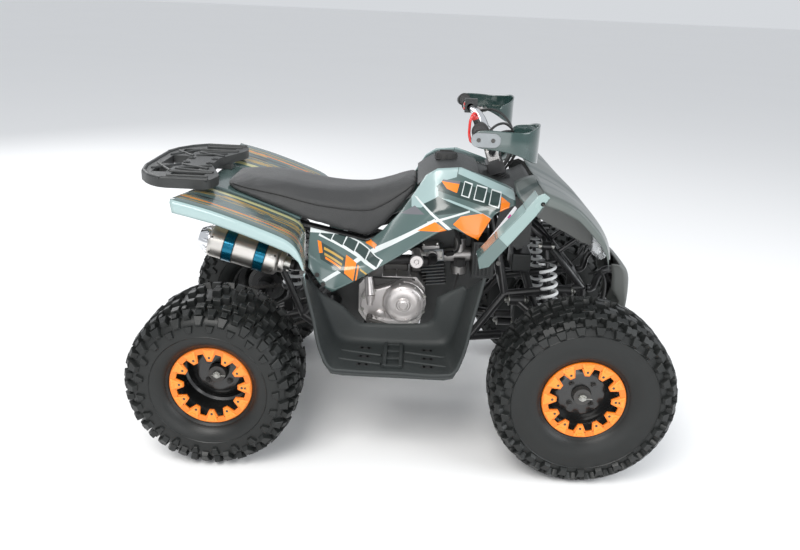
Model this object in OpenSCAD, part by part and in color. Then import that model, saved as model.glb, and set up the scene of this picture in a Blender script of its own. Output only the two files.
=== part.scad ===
/* [Overall] */
// Distance between the front and rear axles
wheelbase = 964; // [800:1:1160]
// Distance between the centre planes of the front tyres
front_track = 726; // [690:1:880]
// Distance between the centre planes of the rear tyres
rear_track = 686; // [640:1:830]
// How far the rack reaches behind the rear axle
rack_reach = 251; // [232:1:320]

/* [Wheels] */
// Outer diameter of a front tyre
front_tyre_d = 483; // [420:1:500]
// Width of a front tyre
front_tyre_w = 178; // [150:1:190]
// Outer diameter of a rear tyre
rear_tyre_d = 457; // [420:1:480]
// Width of a rear tyre
rear_tyre_w = 236; // [200:1:250]
// Bead seat diameter of all four rims
rim_d = 203; // [196:1:230]
// Thickness of the tyre wall
tyre_wall = 12; // [8:0.5:18]
// Sheet thickness of the rims
rim_sheet = 3; // [2:0.5:5]
// Teeth on each bead ring
ring_teeth = 12; // [8:1:16]
// Thickness of the bead rings
ring_t = 6; // [4:0.5:9]

/* [Axles and steering] */
// Diameter of the rear axle shaft
rear_axle_d = 32; // [26:1:38]
// Diameter of the steering stem
stem_d = 25; // [20:1:30]
// Lean of the steering stem from vertical, in degrees
stem_rake = 20; // [16:1:24]
// Forward reach of the steering arms
arm_reach = 55; // [50:1:62]
// Sideways offset of the steering arms
arm_offset = 14; // [12:1:16]
// Width over the handlebar grips
bar_w = 746; // [700:1:800]

/* [Frame] */
// Outer diameter of the main frame tubes
frame_tube_d = 27; // [22:1:32]
// Distance between the centres of the lower frame rails
frame_w = 210; // [190:1:220]
// Height of the lower frame rails' centres
rail_z = 262; // [250:1:275]

/* [Bodywork] */
// Thickness of the plastic panels
panel_t = 3; // [2:0.5:5]
// Width over the front and rear fenders
fender_w = 784; // [740:1:840]
// Height of the footwell floor
floor_z = 287; // [280:1:310]
// Thickness of the rear rack
rack_t = 24; // [18:1:30]
// Height of the rack's top face
rack_z = 727; // [720:1:760]

/* [Hidden] */

seat_gap = 0.3;        // between pieces that rest on each other
run_gap = 0.05;        // radial clearance of a shaft that turns in its bore
stretch = wheelbase / 964;
front_r = front_tyre_d / 2;
rear_r = rear_tyre_d / 2;
front_x = wheelbase / 2;
rear_x = -wheelbase / 2;
rack_back = rear_x - rack_reach;
mid_x = (-rack_back - front_x - front_r) / 2;   // shift that centres the length on the origin
front_y = front_track / 2;
rear_y = rear_track / 2;
tube_r = frame_tube_d / 2;
rail_y = frame_w / 2;
kingpin_y = front_y - 97;
fender_y = fender_w / 2;
smooth = 64;

// stations are laid out about the middle of the wheelbase and stretch with it
function st(x) = x * stretch;
function p3(x, y, z) = [st(x), y, z];

module shifted() { translate([mid_x, 0, 0]) children(); }
module both_sides() { children(); mirror([0, 1, 0]) children(); }
module along_y() { rotate([-90, 0, 0]) children(); }

// a round bar from p to q
module bar(p, q, r) {
    v = q - p;
    reach = norm(v);
    translate(p) rotate([0, acos(v[2] / reach), atan2(v[1], v[0])]) cylinder(h = reach, r = r, $fn = smooth);
}

// a bent tube of straight lengths; every second one is a hair thinner, so that none share a surface
module bent_tube(points, r) {
    for (i = [0 : len(points) - 2]) bar(points[i], points[i + 1], r * (1 - 0.04 * (i % 2)));
}

// a tube across the frame, between its two sides
module cross_tube(x, z, half, r) { bar([x, -half, z], [x, half, z], r); }

function unit(v) = v / norm(v);
function clamped(i, top) = i < 0 ? 0 : i > top ? top : i;
function grid_normal(g, i, j) =
    let (n = len(g) - 1, m = len(g[0]) - 1,
        a = g[clamped(i + 1, n)][j] - g[clamped(i - 1, n)][j],
        b = g[i][clamped(j + 1, m)] - g[i][clamped(j - 1, m)])
    unit(cross(a, b));

// a panel of even thickness through a grid of points; its outer side faces rows x columns
module skin(g, t) {
    n = len(g);
    m = len(g[0]);
    outer = [for (i = [0 : n - 1]) for (j = [0 : m - 1]) g[i][j]];
    inner = [for (i = [0 : n - 1]) for (j = [0 : m - 1]) g[i][j] - t * grid_normal(g, i, j)];
    s = n * m;
    faces = concat(
        [for (i = [0 : n - 2]) for (j = [0 : m - 2])
            let (a = i * m + j, b = a + m, c = b + 1, d = a + 1)
            for (f = [[a, d, c], [a, c, b], [a + s, c + s, d + s], [a + s, b + s, c + s]]) f],
        [for (i = [0 : n - 2]) let (a = i * m, b = a + m) for (f = [[a, b, b + s], [a, b + s, a + s]]) f],
        [for (i = [0 : n - 2]) let (d = i * m + m - 1, c = d + m) for (f = [[c, d, d + s], [c, d + s, c + s]]) f],
        [for (j = [0 : m - 2]) let (a = j, d = j + 1) for (f = [[d, a, a + s], [d, a + s, d + s]]) f],
        [for (j = [0 : m - 2]) let (b = (n - 1) * m + j, c = b + 1) for (f = [[b, c, c + s], [b, c + s, b + s]]) f]);
    polyhedron(points = concat(outer, inner), faces = faces);
}

// a closed solid through equal loops of points, capped at both ends
module loft(loops) {
    n = len(loops);
    m = len(loops[0]);
    points = [for (l = loops) for (p = l) p];
    sides = [for (i = [0 : n - 2]) for (j = [0 : m - 1])
        let (k = (j + 1) % m, a = i * m + j, b = i * m + k, c = b + m, d = a + m)
        for (f = [[a, b, c], [a, c, d]]) f];
    caps = [[for (j = [m - 1 : -1 : 0]) j], [for (j = [0 : m - 1]) (n - 1) * m + j]];
    polyhedron(points = points, faces = concat(sides, caps));
}

/* wheels: local +Z is the outboard side, moved to each hub by on_wheel */
module on_wheel(x, y, r, side) {
    shifted() translate([x, side * y, r]) rotate([side * -90, 0, 0]) children();
}

// half section of a tyre at height t along its wall, as [radius, offset]
function tyre_point(a, r, half, bead, bead_half) =
    let (belly = bead + 0.42 * (r - bead))
    a >= 0 ? [belly + (r - belly) * pow(sin(a), 0.55), half * pow(cos(a), 0.5)]
           : [belly - (belly - bead) * pow(sin(-a), 1.2), bead_half + (half - bead_half) * cos(a)];
function tyre_side(r, half, bead, bead_half) = concat([[bead, bead_half]],
    [for (a = [-90 : 15 : 90]) tyre_point(a, r, half, bead + flange_h + 2, bead_half)]);
flange_h = 8;           // height of the rim flanges over the bead seat

module tyre(r, w) {
    bead = rim_d / 2 + seat_gap;
    outside = tyre_side(r, w / 2, bead, w * 0.33 - seat_gap);
    inside = tyre_side(r - tyre_wall, w / 2 - tyre_wall, bead, w * 0.33 - tyre_wall);
    n = len(outside) - 1;
    rotate_extrude($fn = 96) polygon(concat(
        [for (p = outside) p],
        [for (i = [n - 1 : -1 : 0]) [outside[i][0], -outside[i][1]]],
        [for (p = inside) [p[0], -p[1]]],
        [for (i = [n - 1 : -1 : 0]) inside[i]]));
}

// a rim with its disc at disc_z, its barrel and its two flanges
module rim(w, disc_z, hole_pcd) {
    seat_r = rim_d / 2;
    flange_r = seat_r + flange_h;
    half = w * 0.33 + rim_sheet;
    difference() {
        rotate_extrude($fn = 96) {
            translate([seat_r - rim_sheet, -half]) square([rim_sheet, 2 * half]);
            translate([seat_r - rim_sheet, half - rim_sheet]) square([flange_r - seat_r + rim_sheet, rim_sheet]);
            translate([seat_r - rim_sheet, -half]) square([flange_r - seat_r + rim_sheet, rim_sheet]);
            translate([22, disc_z]) square([46, 6]);
            polygon([[64, disc_z], [68, disc_z], [seat_r - rim_sheet + 0.5, disc_z - 16], [seat_r - rim_sheet + 0.5, disc_z - 9],
                [68, disc_z + 6], [64, disc_z + 6]]);
        }
        for (k = [0 : 3]) rotate(45 + 90 * k) translate([hole_pcd / 2, 0, disc_z - 1]) cylinder(h = 8, r = 5, $fn = 32);
    }
}

// the toothed ring bolted to the outer flange, teeth pointing to the hub
module bead_ring(w) {
    half = w * 0.33 + rim_sheet;
    outer_r = rim_d / 2 + 7;
    inner_r = rim_d / 2 - 10;
    translate([0, 0, half + seat_gap]) difference() {
        union() {
            difference() {
                cylinder(h = ring_t, r = outer_r, $fn = 96);
                translate([0, 0, -1]) cylinder(h = ring_t + 2, r = inner_r, $fn = 96);
            }
            for (k = [0 : ring_teeth - 1]) rotate(360 / ring_teeth * k) linear_extrude(ring_t)
                polygon([[inner_r - 12, -7], [inner_r + 4, -13], [inner_r + 4, 13], [inner_r - 12, 7]]);
        }
        for (k = [0 : ring_teeth - 1]) rotate(360 / ring_teeth * k) translate([inner_r + 9.5, 0, -1])
            cylinder(h = ring_t + 2, r = 3, $fn = 24);
    }
}

front_disc_z = 26;      // hub face of a front rim, outboard of the wheel's centre plane
rear_disc_z = -8;       // hub face of a rear rim
stud_circle = 80;

module rear_tyres() { color([0.07, 0.08, 0.08]) for (s = [-1, 1]) on_wheel(rear_x, rear_y, rear_r, s) tyre(rear_r, rear_tyre_w); }
module rear_rims() { color([0.08, 0.08, 0.08]) for (s = [-1, 1]) on_wheel(rear_x, rear_y, rear_r, s) rim(rear_tyre_w, rear_disc_z, stud_circle); }
module rear_rings() { color([0.93, 0.5, 0.1]) for (s = [-1, 1]) on_wheel(rear_x, rear_y, rear_r, s) bead_ring(rear_tyre_w); }
module front_tyre(s) { color([0.07, 0.08, 0.08]) on_wheel(front_x, front_y, front_r, s) tyre(front_r, front_tyre_w); }
module front_rim(s) { color([0.08, 0.08, 0.08]) on_wheel(front_x, front_y, front_r, s) rim(front_tyre_w, front_disc_z, stud_circle); }
module front_ring(s) { color([0.93, 0.5, 0.1]) on_wheel(front_x, front_y, front_r, s) bead_ring(front_tyre_w); }

spindle_r = 10;
brake_z = kingpin_y + 32 - front_y;       // inner face of the front brake disc, from the centre plane

// front hub with its flange, its nose through the rim and its brake disc
module front_hub(s) {
    color("silver") on_wheel(front_x, front_y, front_r, s) difference() {
        union() {
            translate([0, 0, brake_z]) cylinder(h = 4, r = 80, $fn = 96);
            translate([0, 0, brake_z]) cylinder(h = front_disc_z - brake_z - seat_gap, r = 26, $fn = smooth);
            translate([0, 0, front_disc_z - 9 - seat_gap]) cylinder(h = 9, r = 54, $fn = smooth);
            translate([0, 0, front_disc_z - 9]) cylinder(h = 30, r = 20, $fn = smooth);
            for (k = [0 : 3]) rotate(45 + 90 * k) translate([stud_circle / 2, 0, front_disc_z - 5]) cylinder(h = 22, r = 4.5, $fn = 32);
        }
        translate([0, 0, brake_z - 1]) cylinder(h = front_disc_z + 16 - brake_z, r = spindle_r + run_gap, $fn = smooth);
    }
}

// the rear axle shaft with a hub and flange behind each rear rim
module rear_axle() {
    hub_in = rear_disc_z - 62;
    color("dimgray") {
        shifted() translate([rear_x, 0, rear_r]) along_y() translate([0, 0, -rear_y + 4])
            cylinder(h = 2 * rear_y - 8, r = rear_axle_d / 2, $fn = smooth);
        for (s = [-1, 1]) on_wheel(rear_x, rear_y, rear_r, s) {
            translate([0, 0, hub_in]) cylinder(h = 54, r = 30, $fn = smooth);
            translate([0, 0, rear_disc_z - 9 - seat_gap]) cylinder(h = 9, r = 54, $fn = smooth);
            translate([0, 0, rear_disc_z - 9]) cylinder(h = 34, r = 19, $fn = smooth);
            for (k = [0 : 3]) rotate(45 + 90 * k) translate([stud_circle / 2, 0, rear_disc_z - 5]) cylinder(h = 20, r = 4.5, $fn = 32);
        }
    }
}

chain_y = 70;
sprocket_r = 78;
drive_r = 30;
drive_x = st(-78);
drive_z = 338;
disc_y = -88;

module rear_sprocket() {
    color("dimgray") shifted() translate([rear_x, chain_y, rear_r]) along_y() difference() {
        union() {
            translate([0, 0, -3]) cylinder(h = 6, r = sprocket_r, $fn = 96);
            translate([0, 0, 3]) cylinder(h = 13, r = 34, $fn = smooth);
        }
        translate([0, 0, -20]) cylinder(h = 40, r = rear_axle_d / 2 + seat_gap, $fn = smooth);
        for (k = [0 : 5]) rotate(60 * k) translate([54, 0, -5]) cylinder(h = 10, r = 11, $fn = 32);
    }
}

module rear_brake_disc() {
    color("silver") shifted() translate([rear_x, disc_y, rear_r]) along_y() difference() {
        union() {
            translate([0, 0, -2]) cylinder(h = 4, r = 88, $fn = 96);
            translate([0, 0, -15]) cylinder(h = 13, r = 34, $fn = smooth);
        }
        translate([0, 0, -20]) cylinder(h = 40, r = rear_axle_d / 2 + seat_gap, $fn = smooth);
        for (k = [0 : 5]) rotate(60 * k) translate([56, 0, -5]) cylinder(h = 10, r = 12, $fn = 32);
    }
}

// drive chain as a band round both sprockets
module chain() {
    inner = sprocket_r + seat_gap;
    color([0.25, 0.24, 0.22]) shifted() translate([0, chain_y + 5, 0]) rotate([90, 0, 0]) linear_extrude(10) difference() {
        hull() {
            translate([rear_x, rear_r]) circle(r = inner + 9, $fn = 72);
            translate([drive_x, drive_z]) circle(r = drive_r + 9, $fn = 48);
        }
        hull() {
            translate([rear_x, rear_r]) circle(r = inner, $fn = 72);
            translate([drive_x, drive_z]) circle(r = drive_r, $fn = 48);
        }
    }
}

pivot_x = -205;         // swingarm pivot
pivot_z = 312;
carrier_r = 38;

// swingarm: pivot tube, two arms, the axle carrier and the shock's lugs
module swingarm() {
    arm_y = 46;
    bore = rear_axle_d / 2 + run_gap;
    color([0.09, 0.09, 0.09]) shifted() difference() {
        union() {
            bar([rear_x, -arm_y - 14, rear_r], [rear_x, arm_y + 14, rear_r], carrier_r);
            difference() {
                bar([st(pivot_x), -78, pivot_z], [st(pivot_x), 78, pivot_z], 19);
                bar([st(pivot_x), -90, pivot_z], [st(pivot_x), 90, pivot_z], 8);
            }
            for (s = [-1, 1]) {
                bar([st(pivot_x) - 12, s * arm_y, pivot_z - 3], [rear_x + 24, s * arm_y, rear_r + 9], 14);
                translate([st(-345) - 13, s * 22 - 6, 274]) cube([26, 12, 48]);
            }
            bar([st(-345), -arm_y, 278], [st(-345), arm_y, 278], 9);
        }
        bar([rear_x, -120, rear_r], [rear_x, 120, rear_r], bore);
    }
}

// hitch plate behind the axle carrier
module hitch_plate() {
    color([0.09, 0.09, 0.09]) shifted() difference() {
        translate([rear_x - carrier_r - seat_gap - 48, -30, rear_r - 4]) cube([48, 60, 8]);
        translate([rear_x - carrier_r - 26, 0, rear_r - 20]) cylinder(h = 40, r = 8, $fn = smooth);
    }
}

module rear_caliper() {
    color([0.6, 0.6, 0.62]) shifted() translate([rear_x, disc_y, rear_r]) rotate([0, 40, 0]) {
        difference() {
            translate([-26, -18, 58]) cube([52, 40, 44]);
            translate([-40, -4, 40]) cube([80, 8, 56]);
        }
        translate([-14, 19.4, 22]) cube([28, 8.2, 60]);
    }
}

// rear spring and damper, leaning forward from the swingarm to the frame
module rear_shock() {
    low = p3(-345, 0, 306);
    high = p3(-300, 0, shock_cross_z - tube_r * 0.8 - 15 - seat_gap);
    axis = unit(high - low);
    color([0.85, 0.85, 0.85]) shifted() {
        difference() {
            bar(low - [0, 15, 0], low + [0, 15, 0], 16);
            bar(low - [0, 40, 0], low + [0, 40, 0], 6);
        }
        bar(low + 12 * axis, high - 12 * axis, 9);
        bar(low + 30 * axis, low + 60 * axis, 30);
        bar(low + 60 * axis, high - 50 * axis, 26);
        bar(high - 50 * axis, high - 34 * axis, 30);
        bar(high - [0, 15, 0], high + [0, 15, 0], 15);
    }
}

/* steering geometry */
stem_ref = [247, 758];       // point on the stem's axis, in side view
function stem_at(z) = [st(stem_ref[0]) + (stem_ref[1] - z) * tan(stem_rake), 0, z];
stem_up = [-sin(stem_rake), 0, cos(stem_rake)];
stem_fore = [cos(stem_rake), 0, sin(stem_rake)];
pitman_z = 300;
pitman_t = 8;
rod_r = 6.5;
eye_r = 11;
eye_t = 12;
stem_r = stem_d / 2;
bearing_z = 640;
knuckle_arm_z = front_r + 40;

module in_stem_frame(z) { translate(stem_at(z)) rotate([0, -stem_rake, 0]) children(); }

module steering_stem() {
    length = (stem_ref[1] - pitman_z) / cos(stem_rake);
    color([0.1, 0.1, 0.1]) shifted() in_stem_frame(pitman_z) difference() {
        union() {
            translate([0, 0, -30]) cylinder(h = length + 40, r = stem_r, $fn = smooth);
            linear_extrude(pitman_t) polygon([[-22, -22], [arm_reach + 4, -arm_offset - 13], [arm_reach + 15, -arm_offset],
                [arm_reach + 15, arm_offset], [arm_reach + 4, arm_offset + 13], [-22, 22]]);
            for (s = [-1, 1]) translate([arm_reach, s * arm_offset, -eye_t - 4]) cylinder(h = eye_t + 6, r = 4, $fn = 32);
            translate([-24, -38, length - 22]) cube([48, 76, 34]);
            for (s = [-1, 1]) translate([-15, s * 28 - 10, length + 10]) cube([30, 20, 38]);
        }
        translate([0, 0, length + 33]) rotate([90, 0, 0]) cylinder(h = 100, r = 11 + seat_gap, center = true, $fn = smooth);
    }
}

// tie rod: eye under the pitman plate, rod, and a stud through the knuckle's arm
module tie_rod(s) {
    length = (stem_ref[1] - pitman_z) / cos(stem_rake);
    a = stem_at(pitman_z) + arm_reach * stem_fore + [0, s * arm_offset, 0] - (1 + eye_t / 2) * stem_up;
    b = [front_x + arm_reach, s * (kingpin_y + arm_offset), knuckle_arm_z - 4 - eye_t / 2];
    along = unit(b - a);
    color("silver") shifted() {
        difference() {
            union() {
                bar(a - eye_t / 2 * stem_up, a + eye_t / 2 * stem_up, eye_r);
                bar(a + 6 * along, b - 6 * along, rod_r);
                bar(b - [0, 0, eye_t / 2], b + [0, 0, eye_t / 2], eye_r);
            }
            bar(a - eye_t * stem_up, a + eye_t * stem_up, 4 + run_gap);
        }
        bar(b, b + [0, 0, eye_t / 2 + 4 + 8], 4);
    }
}

upper_ball_z = front_r + 64;
lower_ball_z = front_r - 64;
arm_tube_r = 10;

// upright with its spindle, its arm for the tie rod and the brake caliper
module knuckle(s) {
    post_r = 15;
    color([0.12, 0.12, 0.12]) shifted() translate([front_x, s * kingpin_y, 0]) mirror([0, s < 0 ? 1 : 0, 0]) difference() {
        union() {
            translate([0, 0, lower_ball_z + 15]) cylinder(h = upper_ball_z - lower_ball_z - 28, r = post_r, $fn = smooth);
            bar([0, 0, front_r], [0, front_y - kingpin_y + front_disc_z + 8, front_r], spindle_r);
            bar([0, 0, front_r], [0, 24, front_r], 22);
            translate([0, 0, knuckle_arm_z]) linear_extrude(8)
                polygon([[-12, -12], [arm_reach, arm_offset - 13], [arm_reach + 12, arm_offset], [arm_reach, arm_offset + 13], [-12, 12]]);
            difference() {
                translate([-91, 14, front_r - 20]) cube([36, 36, 40]);
                translate([-82.5, 30, front_r - 21]) cube([40, 8, 42]);
            }
            translate([-70, 6, front_r - 12]) cube([72, 10, 24]);
        }
        translate([arm_reach, arm_offset, knuckle_arm_z - 1]) cylinder(h = 10, r = 6.5, $fn = 32);
        translate([0, 0, lower_ball_z]) cylinder(h = 40, r = 6 + run_gap, $fn = 32);
        translate([0, 0, upper_ball_z - 40]) cylinder(h = 40, r = 6 + run_gap, $fn = 32);
    }
}

// one A-arm: two legs from the frame pivots to the eye at the kingpin, with its ball stud
module a_arm(rear, front, eye_z, stud) {
    eye = [front_x, kingpin_y - 2, eye_z];
    bush_r = 15;
    difference() {
        union() {
            bar(rear, eye, arm_tube_r);
            bar(front, eye, arm_tube_r - 0.5);
            bar(eye - [0, 0, 12], eye + [0, 0, 12], 18);
            for (p = [rear, front]) bar(p - [21, 0, 0], p + [21, 0, 0], bush_r);
        }
        for (p = [rear, front]) bar(p - [60, 0, 0], p + [60, 0, 0], 6 + seat_gap);
        translate([front_x, kingpin_y, eye_z - 30]) cylinder(h = 60, r = 6 + run_gap, $fn = 32);
    }
    translate([front_x, kingpin_y, eye_z]) translate([0, 0, stud > 0 ? -8 : -stud_length + 8]) cylinder(h = stud_length, r = 6, $fn = 32);
}
stud_length = 38;
upper_pivot_y = 120;
lower_pivot_y = 112;
upper_rear = [front_x - 151, upper_pivot_y, 388];
upper_front = [front_x - 21, upper_pivot_y, 424];
lower_rear = [front_x - 151, lower_pivot_y, 226];
lower_front = [front_x - 21, lower_pivot_y, 226];

module upper_arms() { color([0.1, 0.1, 0.1]) shifted() both_sides() a_arm(upper_rear, upper_front, upper_ball_z, -1); }
module lower_arms() {
    color([0.1, 0.1, 0.1]) shifted() both_sides() {
        a_arm(lower_rear, lower_front, lower_ball_z, 1);
        difference() {
            bar([front_x - 75, 187, 206], [front_x - 12, 187, 206], 9);
            translate([front_x - 35 - 13 - seat_gap, 170, 180]) cube([26 + 2 * seat_gap, 40, 60]);
        }
    }
}

shock_low = [front_x - 35, 187, 224];
shock_high = [front_x - 85, 133, 560];

module front_shocks() {
    axis = unit(shock_high - shock_low);
    color([0.85, 0.85, 0.85]) shifted() both_sides() {
        bar(shock_low - [13, 0, 0], shock_low + [13, 0, 0], 13);
        bar(shock_low + 8 * axis, shock_high - 8 * axis, 8);
        bar(shock_low + 34 * axis, shock_high - 36 * axis, 21);
        bar(shock_high - [13, 0, 0], shock_high + [13, 0, 0], 13);
    }
}

/* frame */
head = [232, 44, 700];
rail_rear = [-225, 105, 262];

module frame_side() {
    low = [p3(-290, rail_y - 12, rail_z + 38), p3(-225, rail_y, rail_z), p3(205, rail_y, rail_z),
        [front_x - 185, rail_y - 24, rail_z], [front_x + 44, 78, rail_z + 6], [front_x + 40, 84, 424]];
    arm_rail = [[front_x + 40, 84, 424], [front_x - 182, 84, 392], p3(205, rail_y, rail_z)];
    top = [p3(232, 44, 700), p3(60, 62, 620), p3(-40, 74, 560), p3(-110, 84, 535), p3(-284, 84, 572), p3(-550, 84, 650)];
    down = [p3(232, 44, 700), [front_x - 182, 84, 392]];
    nose = [p3(232, 44, 700), [front_x - 78, 62, 560], [front_x + 40, 84, 424]];
    bent_tube(low, tube_r);
    bent_tube(arm_rail, tube_r * 0.9);
    bent_tube(top, tube_r * 0.97);
    bar(down[0], down[1], tube_r * 0.86);
    bent_tube(nose, tube_r * 0.82);
    bar(p3(-290, rail_y - 12, rail_z + 38), p3(-110, 84, 535), tube_r * 0.88);
    bar(p3(-290, rail_y - 12, rail_z + 38), p3(-430, 84, 615), tube_r * 0.75);
    for (x = [-95, 62]) bar(p3(x, rail_y, peg_z), p3(x, 398, peg_z), peg_r);
    bar([front_x - 85, 58, 564], [front_x - 85, 120 - seat_gap, 560], 7.5);
    for (p = [upper_rear, upper_front, lower_rear, lower_front]) bar(p - [24, 0, 0], p + [24, 0, 0], 6);
    for (p = [upper_rear, upper_front]) for (d = [-26, 26])
        bar(p + [d, 0, 0], [p[0] + d, 84, p[2] - 10], 5);
    for (p = [lower_rear, lower_front]) for (d = [-26, 26])
        bar(p + [d, 0, 0], [p[0] + d, 84, rail_z - 4], 5);
    bar(p3(-445, 84, 612), p3(-445, 84, base_at(-435) - panel_t - seat_gap), 8);
    bar(p3(140, 54, 657), p3(140, 54, lookup(148, tank_line) - panel_t * 1.03 - seat_gap), 8);
    bar(p3(-538, 84, 642), p3(-538, 84, base_at(-538) - panel_t - seat_gap), 8);
    bar([st(pivot_x), 78 + seat_gap, pivot_z], [st(pivot_x), 100, pivot_z], 16);
}
peg_r = 10;
shock_cross_z = 576;    // cross tube that carries the rear shock
peg_z = floor_z - peg_r - seat_gap;
rack_bracket_z = rack_z - rack_t;

module frame() {
    color([0.06, 0.06, 0.06]) shifted() difference() {
        union() {
            both_sides() frame_side();
            for (q = [[-225, rail_z], [205, rail_z], [-100, rail_z], [30, rail_z]]) cross_tube(st(q[0]), q[1], rail_y, tube_r * 0.9);
            cross_tube(front_x + 44, rail_z + 6, 78, tube_r * 0.9);
            cross_tube(front_x + 40, 424, 84, tube_r * 0.8);
            cross_tube(front_x - 182, 392, 84, tube_r * 0.8);
            for (q = [[-110, 535], [-430, 615], [-535, 645]]) cross_tube(st(q[0]), q[1], 84, tube_r * 0.9);
            cross_tube(st(-300), shock_cross_z, 84, tube_r * 0.8);
            cross_tube(st(222), 696, 44, tube_r * 0.8);
            cross_tube(st(60), 620, 62, tube_r * 0.8);
            in_stem_frame(bearing_z) cylinder(h = 36, r = stem_r + 9, $fn = smooth);
            for (s = [-1, 1]) bar(stem_at(bearing_z + 12) + [0, s * (stem_r + 4), 0], [st(247), s * 53, bearing_z - 8], 7);
            in_stem_frame(rail_z - 6) cylinder(h = 18, r = stem_r + 9, $fn = smooth);
            for (s = [-1, 1]) bar(stem_at(rail_z) + [0, s * (stem_r + 4), 0], [stem_at(rail_z)[0], s * 80, rail_z], 8);
            for (s = [-1, 1]) bar([st(pivot_x), s * 88, pivot_z], [st(-235), s * 92, rail_z + 120], 10);
        }
        in_stem_frame(bearing_z - 60) cylinder(h = 200, r = stem_r + run_gap, $fn = smooth);
        in_stem_frame(rail_z - 40) cylinder(h = 90, r = stem_r + run_gap, $fn = smooth);
    }
}

/* engine: centred over the lower rails, clutch cover on the right */
engine_z = rail_z + tube_r * 0.9 + seat_gap;
clutch = [5, 366];

module side_disc(x, z, r, y0, y1) { translate([st(0) + x, y0, z]) along_y() cylinder(h = y1 - y0, r = r, $fn = smooth); }

module engine() {
    color([0.62, 0.6, 0.58]) shifted() {
        hull_case();
        side_disc(clutch[0], clutch[1], 60, -128, -87);
        side_disc(clutch[0], clutch[1], 54, -146, -127);
        side_disc(clutch[0], clutch[1], 18, -152, -145);
        side_disc(28, 352, 58, 61, 84);
        translate([drive_x, 61, drive_z]) along_y() cylinder(h = 17, r = drive_r - seat_gap, $fn = smooth);
        side_disc(37, 501, 19, -70, 60);
        translate([24, -40, 430]) cube([30, 80, 70]);
    }
}
module hull_case() {
    // crankcase halves and gearbox
    translate([0, 62, 0]) rotate([90, 0, 0]) linear_extrude(150) polygon([[-112, 292], [-128, 316], [-128, 400], [-110, 424],
        [-40, 432], [40, 432], [66, 400], [68, 330], [48, engine_z], [-95, engine_z]]);
    side_disc(-72, 352, 48, -120, -87);
}

lean = 7;               // backward lean of the cylinder, in degrees

module cylinder_node() {
    color([0.55, 0.53, 0.5]) shifted() translate([88, 0, 392]) rotate([0, -lean, 0]) {
        translate([0, 0, 0]) cylinder(h = 110, r = 34, $fn = smooth);
        for (k = [0 : 6]) translate([-33, -56, 6 + 10 * k]) cube([72, 112, 3.5]);
        translate([-36, -52, 78]) cube([76, 104, 36]);
        translate([-30, -40, 113]) cube([58, 80, 10]);
    }
}
module cylinder_block() {
    difference() {
        cylinder_node();
        shifted() translate([-200, -200, 200]) cube([268 + seat_gap, 400, 232 + seat_gap]);
        shifted() translate([24 - 60, -200, 400]) cube([90 + seat_gap, 400, 200]);
        shifted() side_disc(37, 501, 19 + seat_gap, -90, 80);
    }
}

module carburettor() {
    color([0.5, 0.48, 0.46]) shifted() {
        bar([118.5, -6, 478], [205, -6, 486], 20);
        bar([165, -6, 440], [165, -6, 535], 17);
        bar([165, -6, 425], [165, -6, 452], 22);
        bar([205, -6, 486], [212, -6, 487], 28);
    }
}

// exhaust from the head's right side back to the muffler
pipe_r = 14;
muffler_front = [-318, -240, 512];
muffler_back = [-545, -240, 574];
module exhaust_pipe() {
    a = p3(muffler_front[0], muffler_front[1], muffler_front[2]);
    axis = unit(p3(muffler_back[0], muffler_back[1], muffler_back[2]) - a);
    color([0.35, 0.33, 0.32]) shifted() bent_tube([[84, -52 - seat_gap, 486], [84, -82, 486], [66, -110, 490], [10, -122, 498],
        p3(-120, -150, 495), p3(-250, -198, 494), a - 26 * axis, a - seat_gap * axis], pipe_r);
}

module muffler() {
    a = p3(muffler_front[0], muffler_front[1], muffler_front[2]);
    b = p3(muffler_back[0], muffler_back[1], muffler_back[2]);
    axis = unit(b - a);
    color("silver") shifted() difference() {
        union() {
            bar(a + 16 * axis, b - 26 * axis, 43);
            bar(a, a + 17 * axis, 30);
            bar(b - 27 * axis, b, 34);
            bar([st(-430), -200, 556], [st(-430), -98, 601], 6);
        }
        bar(b - 20 * axis, b + 20 * axis, 16);
    }
}

/* bodywork: heights are read from these lists of [station, height] */
seat_line = [[-560, 689], [-530, 689], [-476, 673], [-397, 648], [-284, 606], [-169, 574], [-103, 558], [-60, 590], [-16, 642], [21, 690], [50, 735]];
seat_top = [[-500, 700], [-422, 698], [-345, 695], [-243, 677], [-154, 674], [-95, 680], [-35, 699], [11, 718], [38, 730]];
function base_at(x) = lookup(x, seat_line);
function top_at(x) = lookup(x, seat_top);

// seat: loops across the vehicle, crowned on top and flat underneath
function seat_half(x) = lookup(x, [[-505, 92], [-480, 122], [-397, 138], [-284, 140], [-169, 132], [-103, 122], [-60, 112], [0, 98], [38, 84]]);
function seat_loop(x) = let (h = seat_half(x), lo = base_at(x) + seat_gap, hi = max(top_at(x), base_at(x) + 12), d = hi - lo)
    [for (q = [[-1, 0], [-1.0, 0.35], [-0.92, 0.72], [-0.7, 0.93], [-0.35, 1], [0, 1], [0.35, 1], [0.7, 0.93], [0.92, 0.72], [1.0, 0.35], [1, 0]])
        [st(x), q[0] * h, lo + q[1] * d]];
module seat() {
    color([0.1, 0.1, 0.1]) shifted() loft([for (x = [-505, -480, -440, -397, -340, -284, -225, -169, -130, -103, -80, -60, -40, -16, 5, 24]) seat_loop(x)]);
}

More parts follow.
